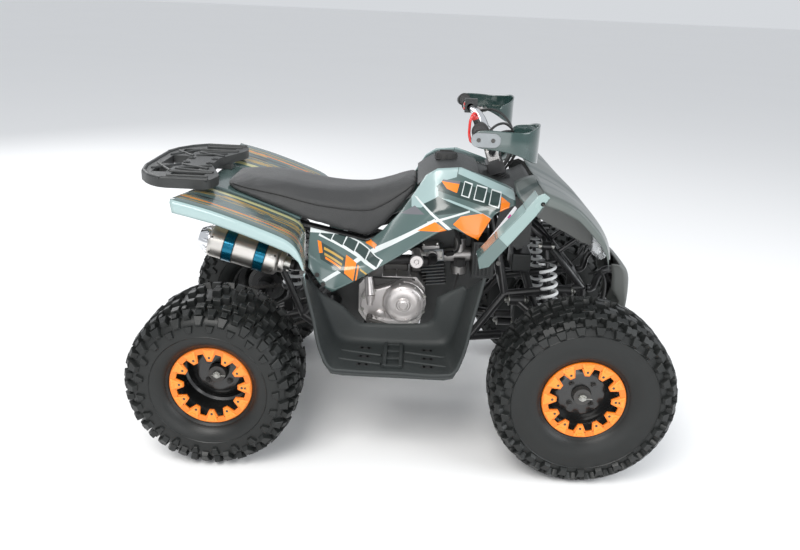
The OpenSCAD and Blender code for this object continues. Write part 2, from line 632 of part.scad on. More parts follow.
// rear fender: level top that turns down in front of the tyre, with a lip round its edge
module rear_fender() {
    lip = 34;
    function row(xi, yi, zi, xo, zo) = [p3(xi, yi, zi), p3((xi + xo) / 2, (yi + fender_y) / 2, (zi + zo) / 2),
        p3(xo, fender_y - 8, zo), p3(xo, fender_y, zo - 8), p3(xo + 4, fender_y, zo - lip)];
    function under(x) = base_at(x);
    g = [
        row(-560, 146, under(-560), -572, 712), row(-530, 146, under(-530), -535, 704),
        row(-476, 146, under(-476), -476, 690), row(-397, 146, under(-397), -397, 664),
        row(-330, 146, under(-330), -330, 640), row(-290, 146, under(-290), -285, 622),
        row(-272, 165, 585, -262, 600), row(-268, 200, 550, -247, 565), row(-262, 236, 505, -243, 536)];
    centre = [for (x = [-560, -530, -476, -397, -330, -290]) [for (y = [-146, 0, 146]) p3(x, y, under(x))]];
    color([0.35, 0.42, 0.42]) shifted() {
        both_sides() skin(g, panel_t);
        skin(centre, panel_t);
    }
}

// side panels: from the rear fender up past the seat to the nose
module side_panels() {
    function row(xt, zt, xb, zb) = [p3(xt, 148, zt), p3(xt + (xb - xt) * 0.2, 178, zt + (zb - zt) * 0.25),
        p3(xt + (xb - xt) * 0.6, 218, zt + (zb - zt) * 0.6), p3(xb, 234, zb)];
    g = [row(-262, 586, -256, 500), row(-215, 576, -222, 448), row(-169, 566, -190, 430), row(-103, 552, -128, 466), row(-60, 590, -74, 502),
        row(-14, 645, -9, 545), row(22, 700, 50, 588), row(50, 748, 94, 616), row(80, 768, 133, 626), row(143, 774, 196, 598),
        row(215, 752, 216, 640), row(268, 733, 232, 672), row(290, 722, 286, 700)];
    color([0.35, 0.42, 0.42]) shifted() both_sides() skin(g, panel_t);
}

tank_line = [[28, 726], [50, 744], [80, 762], [107, 771], [157, 765], [186, 755], [199, 749]];
module tank_cover() {
    g = [for (q = tank_line) [for (y = [-145.2, -110, -50, 0, 50, 110, 145.2]) p3(q[0], y, q[1] + (abs(y) > 120 ? -6 : 0))]];
    color([0.08, 0.08, 0.08]) shifted() {
        skin(g, panel_t);
        bar(p3(107, 0, 771 + seat_gap), p3(107, 0, 788), 32);
    }
}

// stays from the frame's nose tubes up to the cowl
stay_foot = [front_x - 43, 68.6, 519];
stay_dir = unit([136, 0, 118]);

// front cowl: the hood over both front wheels and the nose, with struts down to the footwells
module front_cowl() {
    function row(a, b, c, d) = [p3(d[0] + 2, -fender_y, d[1] - 30), p3(d[0], -fender_y, d[1] - 6), p3(d[0], -fender_y + 8, d[1]), p3(c[0], -280, c[1]),
        p3(b[0], -150, b[1]), p3(a[0], 0, a[1]), p3(b[0], 150, b[1]), p3(c[0], 280, c[1]),
        p3(d[0], fender_y - 8, d[1]), p3(d[0], fender_y, d[1] - 6), p3(d[0] + 2, fender_y, d[1] - 30)];
    g = [row([352, 742], [342, 762], [334, 768], [334, 770]), row([400, 719], [385, 744], [380, 752], [376, 757]),
        row([455, 690], [428, 722], [424, 731], [420, 736]), row([500, 661], [468, 694], [458, 702], [452, 706]),
        row([540, 631], [503, 668], [488, 672], [478, 678]), row([575, 588], [538, 628], [514, 640], [496, 652]),
        row([603, 549], [560, 590], [532, 606], [504, 628]), row([614, 515], [571, 556], [540, 574], [506, 610])];
    strut = [[316, 764], [331, 771], [346, 760], [318, 716], [242, 616], [213, 578], [190, 572], [184, 598], [226, 650], [290, 728]];
    color([0.35, 0.42, 0.42]) shifted() {
        skin(g, panel_t);
        both_sides() bar(stay_foot + (tube_r * 0.82 + seat_gap) * stay_dir, stay_foot + 150 * stay_dir, 7);
        both_sides() difference() {
            translate([0, fender_y + 2, 0]) rotate([90, 0, 0]) linear_extrude(62) polygon([for (p = strut) [st(p[0]), p[1]]]);
            translate([0, fender_y - 2, 0]) rotate([90, 0, 0]) linear_extrude(62)
                polygon([[st(312), 757], [st(331), 765], [st(338), 758], [st(314), 721], [st(238), 621], [st(211), 585], [st(194), 580], [st(191), 596], [st(231), 646], [st(294), 722]]);
        }
    }
}

// footwells: floor, end walls and the wall beside the engine, one tray on each side
module footwells() {
    function row(xo, yo, zo, xi, zi, xt, zt) = [p3(xo, yo + 8, zo - 12), p3(xo, yo + 4, zo), p3((xo + xi) / 2, (yo + 238) / 2, (zo + zi) / 2),
        p3(xi, 238, zi), p3(xt, 222, zt)];
    g = [row(-247, 384, 524, -254, 462, -252, 466), row(-222, 396, 430, -222, 410, -222, 424),
        row(-192, 410, 318, -186, 318, -160, 385), row(-172, 414, floor_z + 4, -168, floor_z + 6, -124, 348),
        row(-140, 414, floor_z, -138, floor_z, -108, 338), row(0, 414, floor_z, 0, floor_z, 0, 340),
        row(120, 414, floor_z, 110, floor_z, 72, 346), row(142, 414, floor_z + 6, 136, floor_z + 10, 90, 362),
        row(158, 408, 320, 150, 330, 98, 424), row(184, 396, 440, 168, 420, 134, 446), row(206, 386, 548, 176, 458, 166, 464)];
    color([0.13, 0.14, 0.14]) shifted() both_sides() skin(g, panel_t);
}

module rack_outline() {
    polygon([[rack_back, -100], [rack_back + 14, -163], [rack_back + 46, -214], [rack_back + 88, -246], [rack_back + 218, -246],
        [rack_back + 231, -179], [rack_back + 188, -78], [rack_back + 175, -45], [rack_back + 175, 45], [rack_back + 188, 78],
        [rack_back + 231, 179], [rack_back + 218, 246], [rack_back + 88, 246], [rack_back + 46, 214], [rack_back + 14, 163], [rack_back, 100]]);
}
rack_hole = [66, 60];       // spacing of the four rack bolts, along and across

module rear_rack() {
    color([0.1, 0.1, 0.1]) shifted() {
        translate([0, 0, rack_z - rack_t]) linear_extrude(rack_t) difference() {
            rack_outline();
            for (s = [-1, 1]) {
                translate([rack_back + 40, s * 128 - 34]) square([40, 68]);
                translate([rack_back + 100, s * 178 - 26]) square([90, 50]);
                translate([rack_back + 110, s * 92 - 24]) square([46, 48]);
            }
            translate([rack_back + 34, -60]) square([54, 120]);
            for (u = [0, 1]) for (s = [-1, 1]) translate([rack_back + 98 + u * rack_hole[0], s * rack_hole[1] / 2]) circle(r = 4.25, $fn = 32);
        }
        for (s = [-1, 1]) {
            translate([rack_back + 116, s * 84 - 12, base_at(-540) + seat_gap]) cube([86, 24, rack_z - rack_t - base_at(-540) - seat_gap]);
        }
    }
}

module front_bumper() {
    nose = front_x + 122;
    color([0.09, 0.09, 0.09]) shifted() {
        both_sides() {
            bent_tube([[front_x + 40 + tube_r + seat_gap, 84, 424], [front_x + 66, 84, 424], [nose - 20, 92, 486], [nose + 22, 88, 470], [nose + 38, 86, 380],
                [nose + 30, 84, 330], [front_x + 72, 79, rail_z + 10], [front_x + 44 + tube_r + seat_gap, 79, rail_z + 10]], 11);
            bar([nose + 38, 86, 400], [nose + 38, 0, 400], 9);
        }
        translate([nose + 22, -110, 388]) rotate([0, 8, 0]) cube([10, 220, 110]);
    }
}

module headlamps() {
    color([0.9, 0.92, 0.95]) shifted() both_sides() translate([front_x + 52, 245, 562.2]) rotate([90, 0, 0])
        linear_extrude(75) polygon([[-44, 105], [-19, 75], [0, 41], [7, 10], [-9, -4], [-39, 15]]);
}

module tail_lamp() {
    color([0.7, 0.08, 0.06]) shifted() translate([st(-568), -48, 648]) cube([18, 96, 28]);
    color([0.1, 0.1, 0.1]) shifted() translate([st(-568) + 18, -20, 660]) cube([10, 40, base_at(-545) - panel_t - seat_gap - 660]);
}

/* handlebar and what is on it */
bar_half = bar_w / 2;
bar_r = 11;
grip_l = 118;
clamp_c = stem_at(stem_ref[1]) + 33 * stem_up;
bar_end = [166, 892];

function bar_points(s) = [clamp_c + [0, s * 46, 0], [st(216), s * 116, 868], [st(182), s * 205, 888], [st(bar_end[0]) + 4, s * bar_half, bar_end[1]]];

module handlebar() {
    color("silver") shifted() {
        for (s = [-1, 1]) bent_tube(concat([clamp_c], bar_points(s)), bar_r);
    }
}

module grips() {
    color([0.08, 0.08, 0.08]) shifted() for (s = [-1, 1]) {
        p = bar_points(s);
        d = unit(p[2] - p[3]);
        difference() {
            bar(p[3] + 2 * d, p[3] + grip_l * d, 17);
            bar(p[3] - 10 * d, p[3] + (grip_l + 10) * d, bar_r + seat_gap);
        }
    }
}

module levers() {
    color("silver") shifted() for (s = [-1, 1]) {
        p = bar_points(s);
        d = unit(p[2] - p[3]);
        c = p[3] + (grip_l + 13) * d;
        difference() {
            union() {
                bar(c - 8 * d, c + 8 * d, 19);
                bar(c, c + [36, 0, -12], 10);
                bent_tube([c + [30, -s * 8, -12], c + [54, s * 16, -14], c + [58, s * 124, -16]], 5);
            }
            bar(c - 20 * d, c + 20 * d, bar_r + seat_gap);
        }
    }
}

module switch_box() {
    color([0.1, 0.1, 0.1]) shifted() {
        p = bar_points(1);
        d = unit(p[2] - p[3]);
        c = p[3] + (grip_l + 35) * d;
        difference() {
            translate(c + [-17, -11, -17]) cube([38, 22, 42]);
            bar(c - 60 * d, c + 60 * d, bar_r + seat_gap);
        }
    }
}

// handguards: a blade from the bar end forward round the hand and back towards the middle
module handguards() {
    e = st(bar_end[0]) + 4;
    path = [[e - 14, bar_half + 9, 868, 912], [e + 45, bar_half + 12, 866, 912], [e + 92, bar_half + 10, 856, 908], [e + 124, bar_half - 6, 838, 910],
        [e + 150, bar_half - 50, 824, 922], [e + 152, bar_half - 110, 830, 918], [e + 136, bar_half - 160, 846, 906], [e + 100, bar_half - 196, 862, 898]];
    g = [for (q = path) [for (k = [3 : -1 : 0]) [q[0], q[1], q[2] + (q[3] - q[2]) * k / 3]]];
    color([0.2, 0.3, 0.28]) shifted() both_sides() {
        skin(g, panel_t);
        bar([e, bar_half + 1.1, bar_end[1]], [e, bar_half + 9 - panel_t + 0.5, bar_end[1]], 12);
    }
}

frame();
swingarm();
hitch_plate();
rear_shock();
front_shocks();
upper_arms();
lower_arms();
engine();
cylinder_block();  // cylinder
carburettor();
exhaust_pipe();
muffler();
seat();
front_cowl();
side_panels();
tank_cover();
rear_fender();
footwells();
rear_rack();
front_bumper();
headlamps();
tail_lamp();
chain();
rear_caliper();
rear_axle();
rear_sprocket();
rear_brake_disc();
rear_tyres();
rear_rims();
rear_rings();
steering_stem();
handlebar();
grips();
handguards();
levers();
switch_box();
knuckle(1);  // knuckle_left
knuckle(-1);  // knuckle_right
tie_rod(1);  // tie_rod_left
tie_rod(-1);  // tie_rod_right
front_hub(1);  // front_hub_left
front_hub(-1);  // front_hub_right
front_tyre(1);  // front_tyre_left
front_tyre(-1);  // front_tyre_right
front_rim(1);  // front_rim_left
front_rim(-1);  // front_rim_right
front_ring(1);  // front_ring_left
front_ring(-1);  // front_ring_right
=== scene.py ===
import math
import bpy, bmesh
from mathutils import Matrix, Vector
from mathutils.bvhtree import BVHTree


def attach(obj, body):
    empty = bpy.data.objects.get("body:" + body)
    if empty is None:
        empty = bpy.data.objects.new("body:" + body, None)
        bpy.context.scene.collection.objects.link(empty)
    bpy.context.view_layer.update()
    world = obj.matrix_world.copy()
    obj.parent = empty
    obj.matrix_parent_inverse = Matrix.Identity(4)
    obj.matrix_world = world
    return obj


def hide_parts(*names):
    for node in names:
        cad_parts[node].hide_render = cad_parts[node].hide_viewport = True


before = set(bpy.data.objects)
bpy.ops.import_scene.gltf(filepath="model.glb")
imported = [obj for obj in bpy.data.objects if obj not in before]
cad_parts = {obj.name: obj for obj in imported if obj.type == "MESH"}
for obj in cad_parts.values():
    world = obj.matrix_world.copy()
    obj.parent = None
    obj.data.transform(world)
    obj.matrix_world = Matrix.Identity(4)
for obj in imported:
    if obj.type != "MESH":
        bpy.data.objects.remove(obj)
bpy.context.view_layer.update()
print("frame loaded")

axleShift = 4.75        # mm from the origin to the middle of the wheelbase
xAxis, yAxis, zAxis = Vector((1, 0, 0)), Vector((0, 1, 0)), Vector((0, 0, 1))


def at(x, y, z):        # a point given in mm from the middle of the wheelbase
    return Vector(((x + axleShift) / 1000, y / 1000, z / 1000))


view = {"place": (0.02355, -2.1745, 1.1905), "yaw": -0.0132, "pitch": 0.3468, "roll": 0.0446, "lens": 34.28}


def makeCamera():
    cy, sy = math.cos(view["yaw"]), math.sin(view["yaw"])
    cp, sp = math.cos(view["pitch"]), math.sin(view["pitch"])
    cr, sr = math.cos(view["roll"]), math.sin(view["roll"])
    ahead = Vector((sy * cp, cy * cp, -sp))
    right = Vector((cy, -sy, 0))
    up = right.cross(ahead)
    right, up = cr * right + sr * up, cr * up - sr * right
    data = bpy.data.cameras.new("camera")
    data.lens = view["lens"]
    data.clip_start = 0.05
    camera = bpy.data.objects.new("camera", data)
    bpy.context.collection.objects.link(camera)
    turn = Matrix((right, up, -ahead)).transposed().to_4x4()
    camera.matrix_world = Matrix.Translation(view["place"]) @ turn
    bpy.context.scene.camera = camera


makeCamera()
print("camera placed")


def aimed(p, q):        # a matrix at the middle of p and q whose Z runs from p to q
    return Matrix.Translation((p + q) / 2) @ (q - p).to_track_quat("Z", "Y").to_matrix().to_4x4()


def rod(bm, p, q, radius, endRadius=None, sides=32):
    bmesh.ops.create_cone(bm, cap_ends=True, segments=sides, radius1=radius,
                          radius2=radius if endRadius is None else endRadius, depth=(q - p).length,
                          matrix=aimed(p, q))


def slab(bm, low, high, turn=None):
    low, high = Vector(low), Vector(high)
    place = Matrix.Translation((low + high) / 2)
    if turn is not None:
        place = place @ turn
    bmesh.ops.create_cube(bm, size=1, matrix=place @ Matrix.Diagonal((*(high - low), 1)))


def lathe(bm, profile, centre, axis, steps=64, closed=False):
    before = set(bm.faces)
    axis = Vector(axis).normalized()
    side = axis.orthogonal().normalized()
    verts = [bm.verts.new(centre + side * r + axis * a) for r, a in profile]
    edges = [bm.edges.new(pair) for pair in zip(verts, verts[1:])]
    if closed:
        edges.append(bm.edges.new((verts[-1], verts[0])))
    bmesh.ops.spin(bm, geom=verts + edges, cent=centre, axis=axis, angle=2 * math.pi, steps=steps, use_merge=True)
    bmesh.ops.remove_doubles(bm, verts=[v for v in bm.verts if v.is_valid], dist=1e-6)
    bmesh.ops.recalc_face_normals(bm, faces=[f for f in bm.faces if f not in before])


def spoke(turn):        # a unit vector across the bike's wheels, turn in radians from forwards
    return Vector((math.cos(turn), 0, math.sin(turn)))


def prism(bm, corners, push):
    before = set(bm.faces)
    face = bm.faces.new([bm.verts.new(c) for c in corners])
    top = bmesh.ops.extrude_face_region(bm, geom=[face])["geom"]
    bmesh.ops.translate(bm, verts=[g for g in top if isinstance(g, bmesh.types.BMVert)], vec=push)
    bmesh.ops.recalc_face_normals(bm, faces=[f for f in bm.faces if f not in before])


def plate(bm, y, outline, thickness):       # an upright plate from a side-view outline in mm
    prism(bm, [at(x, y, z) for x, z in outline], Vector((0, thickness, 0)))


def coil(bm, start, axis, coilRadius, endRadius, wireRadius, turns, length, sides=10):
    before = set(bm.verts)
    side = axis.orthogonal().normalized()
    along = axis.cross(side)
    place = Matrix.Translation(start + side * coilRadius) @ along.to_track_quat("Z", "Y").to_matrix().to_4x4()
    ring = bmesh.ops.create_circle(bm, segments=sides, radius=wireRadius, matrix=place)["verts"]
    edges = list({e for v in ring for e in v.link_edges})
    steps = int(turns * 20)
    bmesh.ops.spin(bm, geom=ring + edges, cent=start, axis=axis, dvec=axis * (length / steps),
                   angle=2 * math.pi * turns, steps=steps)
    fresh = [v for v in bm.verts if v not in before]
    for v in fresh:     # the coil narrows or widens along its length
        rise = (v.co - start).dot(axis)
        out = v.co - start - axis * rise
        share = min(max(rise / length, 0), 1)
        v.co += out.normalized() * (endRadius - coilRadius) * share
    bmesh.ops.holes_fill(bm, edges=[e for e in bm.edges if e.is_boundary], sides=0)
    bmesh.ops.recalc_face_normals(bm, faces=list({f for v in fresh for f in v.link_faces}))


def hexNut(bm, centre, axis, radius, height, washer=True):
    axis = Vector(axis).normalized()
    rod(bm, centre, centre + axis * height, radius, radius, 6)
    rod(bm, centre + axis * height * 0.99, centre + axis * height * 1.35, radius * 0.5, radius * 0.42, 16)
    if washer:
        rod(bm, centre - axis * 0.0004, centre + axis * 0.0012, radius * 1.25, radius * 1.25, 24)


def mirrored(bm):       # adds the other side's copy
    geom = bm.verts[:] + bm.edges[:] + bm.faces[:]
    copy = bmesh.ops.duplicate(bm, geom=geom)["geom"]
    bmesh.ops.scale(bm, vec=(1, -1, 1), verts=[g for g in copy if isinstance(g, bmesh.types.BMVert)])
    bmesh.ops.reverse_faces(bm, faces=[g for g in copy if isinstance(g, bmesh.types.BMFace)])


def piece(bm, name, body, look, bevel=0, segments=2, levels=0, wall=0, angle=32, hides=()):
    mesh = bpy.data.meshes.new(name)
    bm.to_mesh(mesh)
    bm.free()
    mesh.shade_smooth()
    if not levels:
        mesh.set_sharp_from_angle(angle=math.radians(angle))
    obj = bpy.data.objects.new(name, mesh)
    bpy.context.collection.objects.link(obj)
    mesh.materials.append(look)
    if levels:
        rounded = obj.modifiers.new("rounded", "SUBSURF")
        rounded.levels = rounded.render_levels = levels
    if wall:
        thick = obj.modifiers.new("wall", "SOLIDIFY")
        thick.thickness = wall
        thick.offset = -1
    if bevel:
        soft = obj.modifiers.new("edges", "BEVEL")
        soft.width = bevel
        soft.segments = segments
        soft.limit_method = "ANGLE"
        soft.angle_limit = math.radians(angle)
        soft.harden_normals = True
    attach(obj, body)
    if hides:
        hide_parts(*hides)
    return obj


def hose(name, points, radius, body, look, taper=None, hides=()):
    data = bpy.data.curves.new(name, "CURVE")
    data.dimensions = "3D"
    data.bevel_depth = radius
    data.bevel_resolution = 3
    data.use_fill_caps = True
    data.resolution_u = 8
    spline = data.splines.new("BEZIER")
    spline.bezier_points.add(len(points) - 1)
    for k, (knot, p) in enumerate(zip(spline.bezier_points, points)):
        knot.co = p if isinstance(p, Vector) else at(*p)
        knot.handle_left_type = knot.handle_right_type = "AUTO"
        knot.radius = taper[k] if taper else 1
    obj = bpy.data.objects.new(name, data)
    bpy.context.collection.objects.link(obj)
    data.materials.append(look)
    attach(obj, body)
    if hides:
        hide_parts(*hides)
    return obj


def softCopy(node, name, body, look, width, angle=30):      # a CAD solid with eased edges
    bm = bmesh.new()
    bm.from_mesh(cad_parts[node].data)
    bmesh.ops.remove_doubles(bm, verts=bm.verts, dist=1e-5)
    bmesh.ops.dissolve_limit(bm, angle_limit=math.radians(2), verts=bm.verts, edges=bm.edges)
    return piece(bm, name, body, look, bevel=width, angle=angle, hides=(node,))


def finish(name, tint, rough, metal=0.0, drift=None, driftScale=4, grain=0, grainScale=300, coat=0.0,
           roughSpread=0.06,
           grainKind="noise", stretch=None, sheen=0.0, specular=0.5):
    look = bpy.data.materials.new(name)
    look.use_nodes = True
    nodes, links = look.node_tree.nodes, look.node_tree.links
    shader = nodes["Principled BSDF"]
    shader.inputs["Metallic"].default_value = metal
    shader.inputs["Coat Weight"].default_value = coat
    shader.inputs["Coat Roughness"].default_value = 0.08
    shader.inputs["Sheen Weight"].default_value = sheen
    shader.inputs["Specular IOR Level"].default_value = specular
    shader.inputs["Base Color"].default_value = (*tint, 1)
    where = nodes.new("ShaderNodeTexCoord").outputs["Object"]
    if stretch:
        mapping = nodes.new("ShaderNodeMapping")
        mapping.inputs["Rotation"].default_value = stretch["turn"]
        mapping.inputs["Scale"].default_value = stretch["scale"]
        links.new(where, mapping.inputs["Vector"])
        fineWhere = mapping.outputs["Vector"]
    else:
        fineWhere = where
    patches = nodes.new("ShaderNodeTexNoise")
    patches.inputs["Scale"].default_value = driftScale
    patches.inputs["Detail"].default_value = 6
    links.new(where, patches.inputs["Vector"])
    if drift:
        blend = nodes.new("ShaderNodeMix")
        blend.data_type = "RGBA"
        blend.inputs[6].default_value = (*tint, 1)
        blend.inputs[7].default_value = (*drift, 1)
        links.new(patches.outputs["Fac"], blend.inputs["Factor"])
        links.new(blend.outputs[2], shader.inputs["Base Color"])
    spread = nodes.new("ShaderNodeMapRange")
    spread.inputs["From Min"].default_value = 0.3
    spread.inputs["From Max"].default_value = 0.7
    spread.inputs["To Min"].default_value = max(rough - roughSpread, 0.02)
    spread.inputs["To Max"].default_value = min(rough + roughSpread, 1)
    links.new(patches.outputs["Fac"], spread.inputs["Value"])
    links.new(spread.outputs["Result"], shader.inputs["Roughness"])
    if grain:
        fine = nodes.new("ShaderNodeTexVoronoi" if grainKind == "cells" else "ShaderNodeTexNoise")
        fine.inputs["Scale"].default_value = grainScale
        links.new(fineWhere, fine.inputs["Vector"])
        bump = nodes.new("ShaderNodeBump")
        bump.inputs["Strength"].default_value = grain
        bump.inputs["Distance"].default_value = 0.001
        links.new(fine.outputs["Distance" if grainKind == "cells" else "Fac"], bump.inputs["Height"])
        links.new(bump.outputs["Normal"], shader.inputs["Normal"])
    return look


def combined(look, operation, first, second):      # a math node of two sockets or numbers
    node = look.node_tree.nodes.new("ShaderNodeMath")
    node.operation = operation
    for socket, value in zip(node.inputs, (first, second)):
        if isinstance(value, float):
            socket.default_value = value
        else:
            look.node_tree.links.new(value, socket)
    return node.outputs[0]


def layered(look, under, tint, mask):     # tint laid over a colour socket where mask is 1
    layer = look.node_tree.nodes.new("ShaderNodeMix")
    layer.data_type = "RGBA"
    look.node_tree.links.new(under, layer.inputs[6])
    layer.inputs[7].default_value = (*tint, 1)
    look.node_tree.links.new(mask, layer.inputs["Factor"])
    return layer.outputs[2]


def paintOver(look, layers):     # flat colours inside side-view outlines in mm, laid over a finish
    nodes, links = look.node_tree.nodes, look.node_tree.links
    shader = nodes["Principled BSDF"]
    where = nodes.new("ShaderNodeTexCoord").outputs["Object"]
    current = shader.inputs["Base Color"].links[0].from_socket
    for tint, corners in layers:
        corners = [(x / 1000, z / 1000) for x, z in corners]
        turned = sum(a[0] * b[1] - b[0] * a[1] for a, b in zip(corners, corners[1:] + corners[:1]))
        if turned < 0:
            corners = corners[::-1]
        mask = None
        for (x0, z0), (x1, z1) in zip(corners, corners[1:] + corners[:1]):
            dot = nodes.new("ShaderNodeVectorMath")
            dot.operation = "DOT_PRODUCT"
            dot.inputs[1].default_value = (z0 - z1, 0, x1 - x0)
            links.new(where, dot.inputs[0])
            inside = combined(look, "GREATER_THAN", dot.outputs["Value"], (x1 - x0) * z0 - (z1 - z0) * x0)
            mask = inside if mask is None else combined(look, "MULTIPLY", mask, inside)
        current = layered(look, current, tint, mask)
    links.new(current, shader.inputs["Base Color"])


tints = {"green": (0.072, 0.115, 0.110), "mint": (0.29, 0.39, 0.39), "deep": (0.018, 0.038, 0.035),
         "orange": (0.78, 0.19, 0.004),
         "white": (0.58, 0.62, 0.62), "slate": (0.13, 0.13, 0.145), "gold": (0.42, 0.26, 0.05),
         "cream": (0.52, 0.50, 0.24),
         "black": (0.012, 0.013, 0.013), "smoke": (0.085, 0.10, 0.095)}

frameBlack = finish("frame_black", (0.012, 0.012, 0.013), 0.34, drift=(0.02, 0.02, 0.021), grain=0.12,
                    grainScale=500, coat=0.2)
springWhite = finish("spring_white", (0.78, 0.79, 0.79), 0.28, drift=(0.70, 0.72, 0.73), grain=0.05, coat=0.4)
castAlloy = finish("cast_alloy", (0.52, 0.50, 0.49), 0.42, metal=0.85, drift=(0.42, 0.41, 0.40), driftScale=12,
                   grain=0.25, grainScale=700)
coverAlloy = finish("cover_alloy", (0.66, 0.62, 0.61), 0.36, metal=0.75, drift=(0.58, 0.56, 0.55), driftScale=10,
                    grain=0.12, grainScale=900)
darkAlloy = finish("dark_alloy", (0.045, 0.045, 0.045), 0.48, metal=0.5, drift=(0.09, 0.085, 0.08), driftScale=16,
                   grain=0.3, grainScale=600)
zinc = finish("zinc", (0.44, 0.44, 0.42), 0.34, metal=1.0, drift=(0.34, 0.34, 0.31), driftScale=40, grain=0.08,
              grainScale=900)
heatedSteel = finish("heated_steel", (0.030, 0.027, 0.026), 0.5, metal=0.4, drift=(0.018, 0.018, 0.020),
                     driftScale=18, grain=0.2, grainScale=400)
discSteel = finish("disc_steel", (0.55, 0.55, 0.55), 0.28, metal=1.0, drift=(0.45, 0.45, 0.45), driftScale=60,
                   grain=0.1, grainScale=900)
plateAlloy = finish("plate_alloy", (0.24, 0.26, 0.27), 0.45, metal=0.6, drift=(0.20, 0.21, 0.22), driftScale=20,
                    grain=0.12, grainScale=800)
chrome = finish("chrome", (0.80, 0.81, 0.83), 0.09, metal=1.0, drift=(0.74, 0.75, 0.77), roughSpread=0.03)
seatVinyl = finish("seat_vinyl", (0.020, 0.021, 0.022), 0.58, drift=(0.030, 0.031, 0.032), driftScale=9, grain=0.55,
                   grainScale=420,
                   grainKind="cells", sheen=0.15)
bodyGreen = finish("body_green", tints["green"], 0.26, drift=(0.062, 0.100, 0.097), driftScale=3, grain=0.03,
                   grainScale=160, coat=0.5)
trayPlastic = finish("tray_plastic", (0.022, 0.026, 0.026), 0.5, drift=(0.033, 0.037, 0.037), driftScale=7,
                     grain=0.35, grainScale=520,
                     grainKind="cells", specular=0.3)
rackPlastic = finish("rack_plastic", (0.020, 0.022, 0.022), 0.46, drift=(0.032, 0.034, 0.034), driftScale=8,
                     grain=0.35, grainScale=480,
                     grainKind="cells")
tankPlastic = finish("tank_plastic", (0.018, 0.020, 0.020), 0.42, drift=(0.026, 0.028, 0.028), grain=0.25,
                     grainScale=500, grainKind="cells")
tyreRubber = finish("tyre_rubber", (0.006, 0.0068, 0.0066), 0.42, drift=(0.013, 0.0145, 0.014), driftScale=14,
                    grain=0.3, grainScale=380,
                    specular=0.35)
rimBlack = finish("rim_black", (0.010, 0.011, 0.011), 0.25, drift=(0.016, 0.016, 0.016), grain=0.08, grainScale=300,
                  coat=0.5)
ringOrange = finish("ring_orange", tints["orange"], 0.36, drift=(0.66, 0.15, 0.006), driftScale=26, grain=0.18,
                    grainScale=500, coat=0.25)
padOrange = finish("pad_orange", (0.84, 0.27, 0.025), 0.33, drift=(0.76, 0.22, 0.015), driftScale=26, grain=0.12,
                   grainScale=500, coat=0.25)
softRubber = finish("soft_rubber", (0.014, 0.014, 0.014), 0.66, drift=(0.025, 0.025, 0.025), driftScale=30,
                    grain=0.25, grainScale=600)
guardGreen = finish("guard_green", (0.022, 0.050, 0.046), 0.16, drift=(0.016, 0.038, 0.036), driftScale=5,
                    grain=0.02, coat=0.8)
redPlastic = finish("red_plastic", (0.62, 0.02, 0.015), 0.3, drift=(0.5, 0.015, 0.012), grain=0.05, coat=0.3)
tealBand = finish("teal_band", (0.0, 0.16, 0.24), 0.2, metal=0.85, drift=(0.0, 0.10, 0.20), driftScale=30, coat=0.4)
brushedSteel = finish("brushed_steel", (0.62, 0.60, 0.57), 0.34, metal=1.0, drift=(0.55, 0.53, 0.50), driftScale=14,
                      grain=0.35, grainScale=6, stretch={"turn": (0, math.radians(-15.3), 0), "scale": (160, 2, 2)})
print("finishes made")

nodeFinish = {
    "frame": frameBlack, "swingarm": frameBlack, "upper_arms": frameBlack, "lower_arms": frameBlack,
    "rear_axle": frameBlack, "front_hub_left": frameBlack, "front_hub_right": frameBlack,
    "exhaust_pipe": heatedSteel, "rear_sprocket": discSteel, "rear_brake_disc": discSteel,
    "tie_rod_left": zinc, "tie_rod_right": zinc}
for node, look in nodeFinish.items():
    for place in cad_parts[node].material_slots:
        place.material = look

wheelSets = {
    "front": {"x": 482, "y": 363, "radius": 0.2415, "half": 0.089, "lugs": 0.013, "rimHalf": 0.0617, "disc": 0.026,
              "pitches": 27},
    "rear": {"x": -482, "y": 343, "radius": 0.2285, "half": 0.118, "lugs": 0.015, "rimHalf": 0.0809, "disc": -0.008,
             "pitches": 21}}
rimSeat = 0.1015


def carcassPoint(angle, wheel):     # radius and offset along the tyre's outline, crown at 90 degrees
    crown = wheel["radius"] - wheel["lugs"]
    bead = rimSeat + 0.0103
    beadHalf = wheel["rimHalf"] - 0.0033
    belly = bead + 0.42 * (crown - bead)
    s, c = math.sin(math.radians(angle)), math.cos(math.radians(angle))
    if angle >= 0:
        return belly + (crown - belly) * max(s, 0) ** 0.55, wheel["half"] * 0.985 * max(c, 0) ** 0.5
    return belly - (belly - bead) * (-s) ** 1.2, beadHalf + (wheel["half"] * 0.985 - beadHalf) * c


def surfaceFrame(wheel, centre, out, turn, angle, side):    # X round the tyre, Y towards the crown, Z out of the rubber
    r, w = carcassPoint(angle, wheel)
    r2, w2 = carcassPoint(min(angle + 3, 90), wheel)
    r1, w1 = carcassPoint(angle - 3, wheel)
    climb = Vector((r2 - r1, (w2 - w1) * side))
    if climb.length < 1e-6 or angle >= 88:
        climb = Vector((0.0001, -side))
    climb.normalize()
    radial = spoke(turn)
    y = (radial * climb.x + out * climb.y).normalized()
    tangent = Vector((-math.sin(turn), 0, math.cos(turn)))
    z = tangent.cross(y)
    if z.dot(radial + out * (0.3 * side)) < 0:
        z = -z
    x = y.cross(z)
    spot = centre + radial * r + out * (w * side)
    return Matrix((x, y, z)).transposed().to_4x4(), spot


